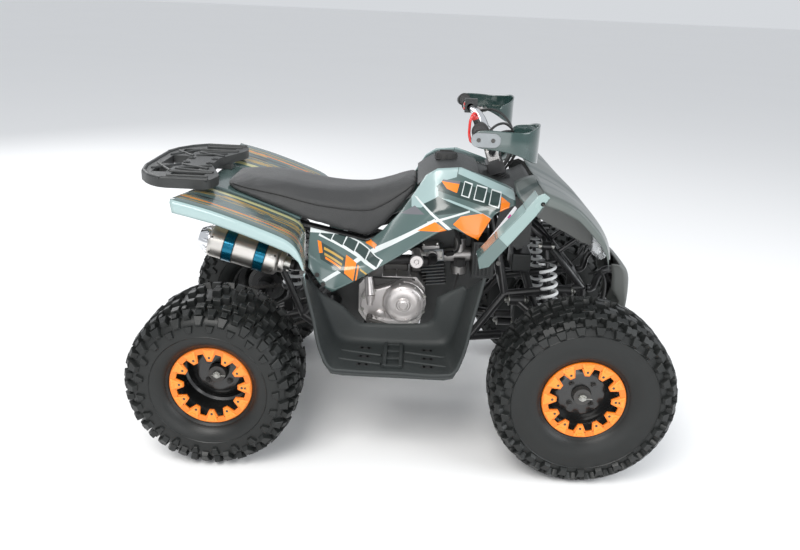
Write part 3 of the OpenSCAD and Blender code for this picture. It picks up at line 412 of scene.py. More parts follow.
def knob(bm, basis, spot, outline, height, taper=0.86, sink=0.002):
    corners = [spot + basis @ Vector((u, v, -sink)) for u, v in outline]
    face = bm.faces.new([bm.verts.new(c) for c in corners])
    normal = basis @ Vector((0, 0, 1))
    face.normal_update()
    if face.normal.dot(normal) < 0:
        face.normal_flip()
    top = bmesh.ops.extrude_face_region(bm, geom=[face])["geom"]
    verts = [g for g in top if isinstance(g, bmesh.types.BMVert)]
    bmesh.ops.translate(bm, verts=verts, vec=normal * (height + sink))
    middle = sum((v.co for v in verts), Vector()) / len(verts)
    for v in verts:
        v.co = middle + (v.co - middle) * taper
    rim = [e for e in {e for v in verts for e in v.link_edges} if all(v in verts for v in e.verts)]
    bmesh.ops.bevel(bm, geom=rim, offset=0.0011, segments=1, affect="EDGES", profile=0.5, material=-1)


def box2(halfLength, halfWidth):
    return [(-halfLength, -halfWidth), (halfLength, -halfWidth), (halfLength, halfWidth), (-halfLength, halfWidth)]


def notched(halfLength, halfWidth, bite):
    return [(-halfLength, -halfWidth), (-halfLength * 0.25, -halfWidth), (0, -halfWidth + bite),
            (halfLength * 0.25, -halfWidth),
            (halfLength, -halfWidth), (halfLength, halfWidth), (halfLength * 0.25, halfWidth), (0, halfWidth - bite),
            (-halfLength * 0.25, halfWidth), (-halfLength, halfWidth)]


def trapezoid(halfLength, halfWidth, narrow):
    return [(-halfLength, halfWidth), (-halfLength * narrow, -halfWidth), (halfLength * narrow, -halfWidth),
            (halfLength, halfWidth)]


def tyre(bm, wheel, centre, out):
    outside = [carcassPoint(a, wheel) for a in range(-90, 90, 6)]
    whole = outside + [carcassPoint(90, wheel)] + [(r, -w) for r, w in reversed(outside)]
    wall = 0.010
    inside = [(r - wall * 0.8, w * 0.9) for r, w in whole[3:-3]]
    lathe(bm, whole + inside[::-1], centre, out, steps=112, closed=True)
    front = wheel["x"] > 0
    beadLine = 0.1900 if front else 0.150
    for side in (1, -1):
        near = min(outside, key=lambda p: abs(p[0] - beadLine))
        lathe(bm, [(near[0] - 0.0016, near[1] * side), (near[0], (near[1] + 0.0016) * side),
                   (near[0] + 0.0016, near[1] * side)],
              centre, out, steps=112)
    count = wheel["pitches"]
    for k in range(count):
        turn = 2 * math.pi * k / count
        halfStep = math.pi / count
        for side in (1, -1):
            if front:
                rows = [(79, 0, notched(0.0190, 0.0120, 0.004), 0.0140),
                        (61, halfStep, notched(0.0185, 0.0115, 0.004), 0.0145),
                        (43, 0, notched(0.0170, 0.0110, 0.0035), 0.0140),
                        (25, halfStep, trapezoid(0.0150, 0.0115, 0.6), 0.0105),
                        (88, halfStep * (1 + 0.5 * side), box2(0.0140, 0.0110), 0.0128)]
            else:
                rows = [(81, 0, box2(0.0105, 0.0105), 0.0150), (81, halfStep * 0.62, box2(0.0075, 0.0085), 0.0135),
                        (64, halfStep, box2(0.0125, 0.0115), 0.0150), (64, halfStep * 0.3, box2(0.0070, 0.0080),
                                                                       0.0135),
                        (46, 0, trapezoid(0.0125, 0.0125, 0.62), 0.0145),
                        (46, halfStep, box2(0.0080, 0.0090), 0.0130),
                        (27, halfStep, trapezoid(0.0145, 0.0135, 0.55), 0.0110),
                        (8, 0, trapezoid(0.0115, 0.0100, 0.5), 0.0070),
                        (88, halfStep * (1 + 0.5 * side), box2(0.0120, 0.0130), 0.0146)]
            for angle, offset, outline, height in rows:
                basis, spot = surfaceFrame(wheel, centre, out, turn + offset, angle, side)
                knob(bm, basis, spot, outline, height)
    for k in range(84):                     # fine ribs beside the bead
        basis, spot = surfaceFrame(wheel, centre, out, 2 * math.pi * k / 84, -66, 1)
        knob(bm, basis, spot, box2(0.0014, 0.0022), 0.0010, sink=0.0005)


def rimProfile(wheel):
    half, disc = wheel["rimHalf"], wheel["disc"]
    lip = [(0.0985, half - 0.010), (0.1000, half - 0.003), (0.1040, half - 0.0005), (0.1095, half),
           (0.1095, half - 0.003),
           (0.1045, half - 0.0035), (0.1015, half - 0.007)]
    back = [(r, -w) for r, w in reversed(lip)]
    if disc > 0:
        dish = [(0.021, disc + 0.006), (0.056, disc + 0.006), (0.064, disc + 0.0045), (0.078, disc - 0.004),
                (0.090, disc - 0.010),
                (0.0965, disc - 0.009), (0.0985, disc - 0.003)]
        behind = [(0.0985, disc - 0.016), (0.088, disc - 0.015), (0.076, disc - 0.009), (0.062, disc), (0.021, disc)]
    else:
        dish = [(0.021, disc + 0.006), (0.050, disc + 0.006), (0.056, disc + 0.008), (0.068, disc + 0.006),
                (0.080, disc - 0.004),
                (0.092, disc - 0.012), (0.0985, disc - 0.008)]
        behind = [(0.0985, disc - 0.020), (0.090, disc - 0.018), (0.078, disc - 0.010), (0.066, disc), (0.021, disc)]
    return dish + lip + [(0.1015, half - 0.02), (0.1015, -half + 0.02)] + back + behind


def beadRing(bm, pads, bolts, wheel, centre, out):
    base = wheel["rimHalf"] + 0.0003
    lathe(bm, [(0.0915, base), (0.1080, base), (0.1088, base + 0.0020), (0.1072, base + 0.0060),
               (0.0915, base + 0.0060)],
          centre, out, steps=96, closed=True)
    for k in range(12):
        turn = 2 * math.pi * k / 12
        radial = spoke(turn)
        across = Vector((-math.sin(turn), 0, math.cos(turn)))
        def spot(r, w, rise):
            return centre + radial * r + across * w + out * (base + rise)
        prism(bm, [spot(0.0700, -0.0062, 0), spot(0.0945, -0.0180, 0), spot(0.0945, 0.0180, 0),
                   spot(0.0700, 0.0062, 0)], out * 0.006)
        prism(pads, [spot(0.0735, -0.0048, 0.0055), spot(0.1045, -0.0165, 0.0055), spot(0.1045, 0.0165, 0.0055),
                     spot(0.0735, 0.0048, 0.0055)], out * 0.0020)
        prism(pads, [spot(0.0945, -0.0060, 0.0070), spot(0.1025, -0.0085, 0.0070), spot(0.1025, 0.0085, 0.0070),
                     spot(0.0945, 0.0060, 0.0070)], out * 0.0018)
        rod(bolts, spot(0.0815, 0, 0.0070), spot(0.0815, 0, 0.0084), 0.0036, 0.0030, 16)
        rod(bolts, spot(0.0815, 0, 0.0080), spot(0.0815, 0, 0.0090), 0.0016, 0.0016, 6)


def hubFace(nuts, dark, wheel, centre, out):
    disc = wheel["disc"]
    for k in range(4):
        turn = math.radians(45 + 90 * k)
        stud = centre + spoke(turn) * 0.040 + out * (disc + 0.006)
        hexNut(dark, stud, out, 0.0070, 0.0070)
    nose = centre + out * (disc + (0.0205 if disc > 0 else 0.0245))
    rod(dark, nose - out * 0.012, nose + out * 0.002, 0.0260, 0.0225, 48)
    hexNut(nuts, nose, out, 0.0105, 0.0090)
    for k in range(6):      # castle slots round the centre nut
        turn = math.radians(60 * k + 30)
        radial = spoke(turn)
        rod(nuts, nose + radial * 0.0065 + out * 0.009, nose + radial * 0.0065 + out * 0.0120, 0.0022, 0.0019, 8)
    rod(nuts, nose + out * 0.0110 - xAxis * 0.012, nose + out * 0.0110 + xAxis * 0.024, 0.0012, 0.0012, 10)


def wheelOf(kind, side, body, tag):
    wheel = wheelSets[kind]
    centre = at(wheel["x"], side * wheel["y"], wheel["radius"] * 1000)
    out = Vector((0, side, 0))
    rubber, rim, ring, pads, bolts, nuts = (bmesh.new() for _ in range(6))
    tyre(rubber, wheel, centre, out)
    lathe(rim, rimProfile(wheel), centre, out, steps=96, closed=True)
    beadRing(ring, pads, bolts, wheel, centre, out)
    hubFace(nuts, bolts, wheel, centre, out)
    rod(rim, centre + xAxis * 0.0935 + out * (wheel["rimHalf"] - 0.012),
        centre + xAxis * 0.090 + out * (wheel["rimHalf"] + 0.010), 0.0028, 0.0024, 12)
    nodes = {"front": ("front_tyre_" + tag, "front_rim_" + tag, "front_ring_" + tag),
             "rear": ("rear_tyres", "rear_rims", "rear_rings")}[kind]
    piece(rubber, kind + "Tyre_" + tag, body, tyreRubber, angle=40, hides=(nodes[0],))
    piece(rim, kind + "Rim_" + tag, body, rimBlack, angle=35, hides=(nodes[1],))
    piece(ring, kind + "Ring_" + tag, body, ringOrange, bevel=0.0008, hides=(nodes[2],))
    piece(pads, kind + "RingPads_" + tag, body, padOrange, bevel=0.0006)
    piece(bolts, kind + "RingBolts_" + tag, body, darkAlloy)
    piece(nuts, kind + "Nuts_" + tag, body, zinc, bevel=0.0004)


for side, tag in ((1, "left"), (-1, "right")):
    wheelOf("front", side, "front_wheel_" + tag, tag)
    wheelOf("rear", side, "rear_axle", tag)
print("wheels made")


fenderHalf = 392


def sheetOf(rows):      # a grid moved onto rows of points given in mm
    n, m = len(rows), len(rows[0])
    bm = bmesh.new()
    bmesh.ops.create_grid(bm, x_segments=m - 1, y_segments=n - 1, size=0.5)
    for v in bm.verts:
        i = round((v.co.y + 0.5) * (n - 1))
        j = round((v.co.x + 0.5) * (m - 1))
        v.co = at(*rows[i][j])
    return bm


def creased(bm, test, amount=0.8):
    layer = bm.edges.layers.float.get("crease_edge") or bm.edges.layers.float.new("crease_edge")
    for e in bm.edges:
        if test(e):
            e[layer] = amount


def cornered(bm, test, amount=1.0):      # points that stay sharp under subdivision
    layer = bm.verts.layers.float.get("crease_vert") or bm.verts.layers.float.new("crease_vert")
    for v in bm.verts:
        if test(v):
            v[layer] = amount


def lookupLine(line, x):
    if x <= line[0][0]:
        return line[0][1]
    for (x0, y0), (x1, y1) in zip(line, line[1:]):
        if x <= x1:
            return y0 + (y1 - y0) * (x - x0) / (x1 - x0)
    return line[-1][1]


def outwards(bm, hint):     # turns the whole sheet so that its faces look the way of hint
    bm.normal_update()
    if sum((f.normal.dot(hint) * f.calc_area() for f in bm.faces), 0) < 0:
        bmesh.ops.reverse_faces(bm, faces=bm.faces)


def along(y):       # tells the edges that run the length of a sheet, y mm from its middle
    return lambda e: all(abs(abs(v.co.y) - y / 1000) < 0.001 for v in e.verts)


def panel(name, look, rows, facing, edge=1, folds=(), hardFrom=None, hard=1.0, paired=True, levels=2, wall=0.003,
          hides=()):
    bm = sheetOf(rows)
    if hardFrom is not None:        # boundary points this far out in mm keep their corners
        cornered(bm, lambda v: v.is_boundary and abs(v.co.y) >= hardFrom / 1000, hard)
    creased(bm, lambda e: e.is_boundary, edge)
    for test, amount in folds:
        creased(bm, test, amount)
    outwards(bm, Vector(facing))
    if paired:
        mirrored(bm)
    piece(bm, name, "chassis", look, levels=levels, wall=wall, hides=hides)


seatLine = [(-560, 689), (-530, 689), (-476, 673), (-397, 648), (-284, 606), (-169, 574), (-103, 558), (-60, 590),
            (-16, 642),
            (21, 690), (50, 735)]


def sidePanel():
    def row(xt, zt, xb, zb):
        return [(xt, -148, zt), (xt + (xb - xt) * 0.2, -178, zt + (zb - zt) * 0.25),
                (xt + (xb - xt) * 0.6, -218, zt + (zb - zt) * 0.6),
                (xb, -234, zb)]
    rows = [row(-262, 586, -256, 500), row(-215, 576, -222, 448), row(-190, 571, -190, 430),
            row(-103, 552, -128, 466), row(-60, 590, -74, 502),
            row(-14, 645, -9, 545), row(22, 700, 50, 588), row(50, 748, 94, 616), row(80, 768, 133, 626),
            row(143, 774, 196, 598),
            row(215, 752, 216, 640), row(268, 733, 232, 672), row(290, 722, 286, 700)]
    panel("sidePanels", panelGreen, rows, (0, -1, 0.4), folds=((along(178), 0.9), (along(218), 0.6)), hardFrom=0,
          levels=3,
          hides=("side_panels",))


panelGreen = finish("panel_green", tints["green"], 0.24, drift=(0.064, 0.103, 0.099), driftScale=3, grain=0.03,
                    grainScale=160, coat=0.5)


def framed(x, z, width):        # one white slanted frame with a dark middle, its low rear corner at x, z
    outer = [(x, z), (x + 9, z + 35), (x + 9 + width, z + 29), (x + width, z - 5)]
    inner = [(x + 3, z + 2), (x + 10, z + 32), (x + 6 + width, z + 26), (x + width - 3, z - 2)]
    return [(tints["white"], outer), (tints["deep"], inner)]


paintOver(panelGreen, [
    (tints["mint"], [(28, 682), (88, 712), (100, 739), (143, 774), (69, 777), (36, 746)]),
    (tints["mint"], [(20, 665), (46, 669), (90, 704), (88, 722), (40, 752), (18, 705)]),
    (tints["mint"], [(100, 739), (137, 750), (143, 784), (69, 787)]),
    (tints["mint"], [(141, 758), (278, 709), (308, 706), (288, 722), (143, 776)]),
    (tints["mint"], [(98, 699), (174, 674), (229, 659), (256, 651), (184, 678), (119, 697)]),
    (tints["deep"], [(88, 716), (100, 741), (148, 739), (267, 705), (264, 672), (172, 695)]),
    (tints["slate"], [(100, 743), (148, 741), (141, 723), (103, 730)]),
    (tints["orange"], [(97, 739), (145, 734), (139, 713), (112, 722)]),
    (tints["orange"], [(257, 710), (278, 700), (270, 674), (252, 677)]),
    *framed(150, 707, 22), *framed(183, 699, 29), *framed(223, 690, 27),
    (tints["deep"], [(48, 677), (89, 702), (178, 672), (91, 658)]),
    (tints["slate"], [(-9, 641), (29, 670), (56, 655)]),
    (tints["white"], [(63, 638), (175, 674), (175, 669), (68, 633)]),
    (tints["white"], [(-215, 462), (-205, 457), (89, 640), (83, 648)]),
    (tints["white"], [(26, 692), (34, 692), (138, 618), (131, 613)]),
    (tints["orange"], [(38, 613), (84, 640), (122, 617)]),
    (tints["orange"], [(132, 637), (152, 657), (209, 668), (230, 658), (210, 585)]),
    (tints["deep"], [(-234, 558), (-84, 483), (-127, 462), (-221, 515)]),
    (tints["gold"], [(-215, 542), (-160, 516), (-161, 511), (-215, 536)]),
    (tints["gold"], [(-213, 529), (-162, 504), (-163, 499), (-212, 523)]),
    (tints["orange"], [(-210, 520), (-164, 496), (-165, 492), (-208, 514)]),
    (tints["orange"], [(-234, 558), (-224, 554), (-217, 529), (-226, 529)]),
    (tints["orange"], [(-153, 524), (-123, 509), (-129, 465), (-155, 482)]),
    (tints["orange"], [(-119, 506), (-115, 504), (-120, 464), (-124, 464)]),
    (tints["gold"], [(-112, 498), (-90, 487), (-91, 483), (-112, 493)]),
    (tints["white"], [(-220, 593), (-50, 527), (-69, 498), (-233, 568)]),
    *[(tints["deep"], [(x, z), (x + 29, z - 11), (x + 20, z - 32), (x - 10, z - 18)])
      for x, z in ((33 * k - 219, 589 - 12.6 * k) for k in range(5))],
    (tints["white"], [(-262, 588), (-96, 573), (-90, 562), (-257, 576)]),
    (tints["orange"], [(-150, 579), (-118, 572), (-122, 563), (-152, 570)]),
    (tints["orange"], [(-100, 563), (-70, 556), (-75, 546), (-102, 552)]),
])
sidePanel()

fenderGreen = finish("fender_green", tints["green"], 0.24, drift=(0.064, 0.103, 0.099), driftScale=3, grain=0.03,
                     grainScale=160, coat=0.5)


def stripeBands(look, bands):      # bands run along the bike: (tint, from, to, broken)
    nodes, links = look.node_tree.nodes, look.node_tree.links
    shader = nodes["Principled BSDF"]
    where = nodes.new("ShaderNodeTexCoord").outputs["Object"]
    split = nodes.new("ShaderNodeSeparateXYZ")
    links.new(where, split.inputs["Vector"])
    size = nodes.new("ShaderNodeMath")
    size.operation = "ABSOLUTE"
    links.new(split.outputs["Y"], size.inputs[0])
    streaks = nodes.new("ShaderNodeTexNoise")
    streaks.inputs["Scale"].default_value = 1
    stretched = nodes.new("ShaderNodeMapping")
    stretched.inputs["Scale"].default_value = (14, 120, 14)
    links.new(where, stretched.inputs["Vector"])
    links.new(stretched.outputs["Vector"], streaks.inputs["Vector"])
    current = shader.inputs["Base Color"].links[0].from_socket
    for tint, low, high, broken in bands:
        middle = nodes.new("ShaderNodeMath")
        middle.operation = "COMPARE"
        middle.inputs[1].default_value = (low + high) / 2
        middle.inputs[2].default_value = (high - low) / 2
        links.new(size.outputs[0], middle.inputs[0])
        mask = middle.outputs[0]
        if broken:
            mask = combined(look, "MULTIPLY", mask, combined(look, "GREATER_THAN", streaks.outputs["Fac"], broken))
        current = layered(look, current, tint, mask)
    links.new(current, shader.inputs["Base Color"])


stripeBands(fenderGreen, [
    (tints["cream"], 0.168, 0.192, 0), (tints["gold"], 0.205, 0.335, 0.56), (tints["gold"], 0.222, 0.228, 0),
    (tints["black"], 0.262, 0.300, 0.52),
    (tints["orange"], 0.318, 0.324, 0), (tints["gold"], 0.345, 0.350, 0), (tints["mint"], 0.3855, 0.42, 0)])


lipFolds = ((along(fenderHalf - 8), 0.85), (along(fenderHalf), 0.85))     # the turned edge of both fenders


def rearFender():
    def row(xi, yi, zi, xo, zo):
        return [(xi, -yi, zi), ((xi + xo) / 2, -(yi + fenderHalf) / 2, (zi + zo) / 2), (xo, -(fenderHalf - 8), zo),
                (xo, -fenderHalf, zo - 8), (xo + 4, -fenderHalf, zo - 34)]
    rows = [row(x, 146, lookupLine(seatLine, x), xo, zo) for x, xo, zo in
            ((-560, -572, 712), (-530, -535, 704), (-476, -476, 690), (-397, -397, 664), (-330, -330, 640),
             (-290, -285, 622))]
    rows += [row(-272, 165, 585, -262, 600), row(-268, 200, 550, -247, 565), row(-262, 236, 505, -243, 536)]
    panel("rearFender", fenderGreen, rows, (0, -0.4, 1), folds=lipFolds, hardFrom=200, hides=("rear_fender",))
    rows = [[(x, y, lookupLine(seatLine, x)) for y in (-146, -70, 0, 70, 146)]
            for x in (-560, -530, -476, -397, -330, -290)]
    panel("fenderBridge", bodyGreen, rows, zAxis, paired=False)


rearFender()


def frontCowl():
    def row(a, b, c, d):
        half = [(d[0] + 2, fenderHalf, d[1] - 30), (d[0], fenderHalf, d[1] - 6), (d[0], fenderHalf - 8, d[1]),
                (c[0], 280, c[1]),
                (b[0], 150, b[1])]
        return [(x, -y, z) for x, y, z in half] + [(a[0], 0, a[1])] + half[::-1]
    rows = [row((352, 742), (342, 762), (334, 768), (334, 770)), row((400, 719), (385, 744), (380, 752), (376, 757)),
            row((455, 690), (428, 722), (424, 731), (420, 736)), row((500, 661), (468, 694), (458, 702), (452, 706)),
            row((540, 631), (503, 668), (488, 672), (478, 678)), row((575, 588), (538, 628), (514, 640), (496, 652)),
            row((603, 549), (560, 590), (532, 606), (504, 628)), row((614, 515), (571, 556), (540, 574), (506, 610))]
    panel("frontCowl", cowlGreen, rows, (0.5, 0, 1), folds=(*lipFolds, (along(150), 0.75)), hardFrom=300,
          paired=False,
          hides=("front_cowl",))
    strut = [(316, 764), (331, 771), (346, 760), (318, 716), (242, 616), (213, 578), (190, 572), (184, 598),
             (226, 650), (290, 728)]
    lining = [(312, 757), (331, 765), (338, 758), (314, 721), (238, 621), (211, 585), (194, 580), (191, 596),
              (231, 646), (294, 722)]
    bm = bmesh.new()
    plate(bm, -fenderHalf - 2, strut, 0.0035)
    edge = [at(x, -fenderHalf - 2, z) for x, z in strut]
    for a, b in zip(edge, edge[1:] + edge[:1]):
        if (a - b).length > 0.03:
            inward = Vector((a.z - b.z, 0, b.x - a.x)).normalized() * 0.0035
            middle = sum(edge, Vector()) / len(edge)
            if inward.dot(middle - (a + b) / 2) < 0:
                inward = -inward
            prism(bm, [a, b, b + inward, a + inward], Vector((0, 0.060, 0)))
    mirrored(bm)
    piece(bm, "cowlStruts", "chassis", strutGreen, bevel=0.0025, segments=3)
    bm = bmesh.new()
    foot, lean = at(439, -68.6, 519), Vector((136, 0, 118)).normalized()
    rod(bm, foot + lean * 0.011, foot + lean * 0.132, 0.007)
    mirrored(bm)
    piece(bm, "cowlStays", "chassis", frameBlack)


cowlGreen = finish("cowl_green", (0.075, 0.092, 0.086), 0.34, drift=(0.060, 0.076, 0.070), driftScale=4, grain=0.03,
                   coat=0.15, specular=0.4)
stripeBands(cowlGreen, [(tints["deep"], 0.035, 0.075, 0), (tints["deep"], 0.225, 0.262, 0),
                        (tints["smoke"], 0.3855, 0.42, 0)])
strutGreen = finish("strut_green", (0.25, 0.34, 0.335), 0.22, drift=(0.17, 0.25, 0.24), driftScale=6, grain=0.03,
                    coat=0.5)
paintOver(strutGreen, [(tints["green"], [(150, 500), (275, 500), (262, 632), (222, 668), (150, 668)])])
frontCowl()
print("body panels made")


def footwells():
    def row(xo, yo, zo, xi, zi, xt, zt):
        return [(xo, -(yo + 8), zo - 12), (xo, -(yo + 4), zo), ((xo + xi) / 2, -(yo + 238) / 2, (zo + zi) / 2),
                (xi, -238, zi), (xt, -222, zt)]
    rows = [row(-247, 384, 524, -254, 462, -252, 466), row(-222, 396, 430, -222, 410, -222, 424),
            row(-192, 410, 318, -186, 318, -160, 385),
            row(-172, 414, 291, -168, 293, -124, 348), row(-140, 414, 287, -138, 287, -108, 338),
            row(0, 414, 287, 0, 287, 0, 340),
            row(120, 414, 287, 110, 287, 72, 346), row(142, 414, 293, 136, 297, 90, 362),
            row(158, 408, 320, 150, 330, 98, 424),
            row(184, 396, 440, 168, 420, 134, 446), row(206, 386, 548, 176, 458, 166, 464)]
    panel("footwells", trayPlastic, rows, zAxis, folds=((along(238), 0.9),
                                                        (lambda e: all(v.co.y < -0.385 for v in e.verts), 0.8)),
          hardFrom=0, hides=("footwells",))
    edge = [at(r[1][0], r[1][1], r[1][2] + 1) for r in rows]
    for side, tag in ((1, "right"), (-1, "left")):
        hose("footwellRim_" + tag, [Vector((p.x, p.y * side, p.z)) for p in edge], 0.005, "chassis", trayPlastic)
    bm, dark = bmesh.new(), bmesh.new()
    for x in (-36, 6):      # ladder bracket across the floor
        slab(bm, at(x - 5, -392, 286.5), at(x + 5, -252, 297))
    for y in (-388, -344, -300, -258):
        slab(bm, at(-36, y - 5, 286.5), at(6, y + 5, 295))
    for x0, x1, y0 in ((-160, -46, -300), (-160, -46, -352), (16, 128, -296), (16, 128, -350)):
        start, end = at(x0, y0, 288), at(x1, y0 - 22, 288)
        rod(bm, start, end, 0.0045, 0.0045, 12)
    for x, y in ((-92, -278), (-92, -330), (-92, -378), (78, -276), (78, -328), (78, -376)):
        for k in (-1, 1):
            rod(dark, at(x + k * 12, y, 286.8), at(x + k * 12, y, 288.2), 0.0065, 0.0065, 24)
        slab(dark, at(x - 12, y - 6.5, 286.8), at(x + 12, y + 6.5, 288.2))
    mirrored(bm)
    mirrored(dark)
    piece(bm, "footPegs", "chassis", trayPlastic, bevel=0.0015)
    piece(dark, "floorSlots", "chassis", softRubber)


footwells()
print("footwells made")


seatPad = {"voxel": 0.0065, "pressure": 3.5, "cap": 0.007, "seamRise": 0.62, "seamRadius": 0.0016}
seatTop = [(-500, 700), (-422, 698), (-345, 695), (-243, 677), (-154, 674), (-95, 680), (-35, 699), (11, 718),
           (38, 730)]
seatWide = [(-505, 92), (-480, 122), (-397, 138), (-284, 140), (-169, 132), (-103, 122), (-60, 112), (0, 98),
            (38, 84)]


def evaluated(obj):
    graph = bpy.context.evaluated_depsgraph_get()
    return bpy.data.meshes.new_from_object(obj.evaluated_get(graph), depsgraph=graph)


def seat():
    bm = bmesh.new()
    bm.from_mesh(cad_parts["seat"].data)
    bmesh.ops.remove_doubles(bm, verts=bm.verts, dist=1e-5)
    mesh = bpy.data.meshes.new("seatForm")
    bm.to_mesh(mesh)
    bm.free()
    form = bpy.data.objects.new("seatForm", mesh)
    bpy.context.collection.objects.link(form)
    remesh = form.modifiers.new("voxels", "REMESH")
    remesh.mode = "VOXEL"
    remesh.voxel_size = seatPad["voxel"]
    eased = form.modifiers.new("eased", "SMOOTH")
    eased.factor = 0.6
    eased.iterations = 8
    padMesh = evaluated(form)
    pad = bpy.data.objects.new("seatPad", padMesh)
    bpy.context.collection.objects.link(pad)
    bpy.data.objects.remove(form)
    start = [v.co.copy() for v in padMesh.vertices]
    held = pad.vertex_groups.new(name="held")
    low = [v.index for v in padMesh.vertices if v.co.z < lookupLine(seatLine,
                                                                    v.co.x * 1000 - axleShift) / 1000 + 0.010]
    held.add(low, 1.0, "REPLACE")
    cloth = pad.modifiers.new("cloth", "CLOTH")
    cloth.settings.quality = 4
    cloth.settings.mass = 0.3
    cloth.settings.tension_stiffness = cloth.settings.compression_stiffness = 12
    cloth.settings.use_pressure = True
    cloth.settings.uniform_pressure_force = seatPad["pressure"]
    cloth.settings.vertex_group_mass = "held"
    cloth.settings.effector_weights.gravity = 0
    cloth.point_cache.frame_start, cloth.point_cache.frame_end = 1, 20
    scene = bpy.context.scene
    for f in range(1, 21):
        scene.frame_set(f)
    puffed = evaluated(pad)
    pad.modifiers.remove(cloth)
    scene.frame_set(1)
    for v, before, after in zip(padMesh.vertices, start, puffed.vertices):
        move = after.co - before
        if move.length > seatPad["cap"]:
            move *= seatPad["cap"] / move.length
        v.co = before + move
    bpy.data.meshes.remove(puffed)
    bm = bmesh.new()
    bm.from_mesh(padMesh)
    for _ in range(3):
        bmesh.ops.smooth_vert(bm, verts=bm.verts, factor=0.5, use_axis_x=True, use_axis_y=True, use_axis_z=True)
    seams = []
    tree = BVHTree.FromBMesh(bm)
    for side in (-1, 1):    # sewn welts along both shoulders of the pad
        points = []
        for x in range(-488, 20, 22):
            half = lookupLine(seatWide, x)
            low = lookupLine(seatLine, x)
            rise = max(lookupLine(seatTop, x), low + 12) - low
            guess = at(x, side * half * 0.93, low + rise * seatPad["seamRise"])
            spot = tree.find_nearest(guess)
            points.append(spot[0] + spot[1] * 0.0006)
        seams.append(points)
    kd = [p for run in seams for p in run]
    for v in bm.verts:      # the cover dips a little beside each welt
        near = min((v.co - p).length for p in kd) if v.co.z > 0.60 else 1
        if near < 0.016:
            v.co -= v.normal * 0.0022 * (1 - near / 0.016)
    bm.to_mesh(padMesh)
    bm.free()
    padMesh.materials.clear()
    padMesh.materials.append(seatVinyl)
    padMesh.shade_smooth()
    rounded = pad.modifiers.new("rounded", "SUBSURF")
    rounded.levels = rounded.render_levels = 1
    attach(pad, "chassis")
    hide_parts("seat")
    for tag, run in zip(("right", "left"), seams):
        hose("seatWelt_" + tag, run, seatPad["seamRadius"], "chassis", softRubber)


seat()


def tankCover():
    line = [(28, 726), (50, 744), (80, 762), (107, 771), (157, 765), (186, 755), (199, 749)]
    rows = [[(x, y, z + (-6 if abs(y) > 120 else 0) + (3 if abs(y) < 60 else 0))
             for y in (-145, -110, -50, 0, 50, 110, 145)] for x, z in line]
    panel("tankCover", tankPlastic, rows, zAxis, edge=0.9, folds=((along(110), 0.6),), paired=False,
          hides=("tank_cover",))
    bm = bmesh.new()
    centre = at(107, 0, 771)
    profile = [(0.0, 0.017), (0.020, 0.017), (0.028, 0.014), (0.031, 0.008), (0.032, 0.0), (0.034, -0.002),
               (0.030, -0.006), (0.0, -0.006)]
    lathe(bm, profile, centre, zAxis, steps=48)
    for k in range(12):
        turn = 2 * math.pi * k / 12
        out = Vector((math.cos(turn), math.sin(turn), 0))
        rod(bm, centre + out * 0.0305 + zAxis * 0.001, centre + out * 0.0285 + zAxis * 0.0135, 0.0032, 0.0026, 10)
    slab(bm, centre + Vector((-0.018, -0.003, 0.015)), centre + Vector((0.018, 0.003, 0.0205)))
    piece(bm, "fuelCap", "chassis", softRubber, bevel=0.0008)


tankCover()


def dash():
    rows = [[(x + dx, y, z + dz) for y, dx, dz in ((-168, 10, -16), (-130, 0, -4), (-70, 0, 0), (0, 0, 2),
                                                   (70, 0, 0), (130, 0, -4), (168, 10, -16))]
            for x, z in ((192, 746), (222, 734), (262, 722), (300, 720), (338, 744))]
    panel("dashPanel", tankPlastic, rows, zAxis, edge=0.9, paired=False)
    rows = [[(288, -148, 742), (284, -236, 726), (300, -320, 716), (318, -388, 712)],
            [(316, -148, 758), (312, -236, 748), (322, -320, 742), (334, -388, 738)],
            [(346, -146, 764), (342, -236, 764), (340, -320, 766), (342, -388, 764)]]
    panel("cowlWings", cowlGreen, rows, zAxis, edge=0.9)


dash()


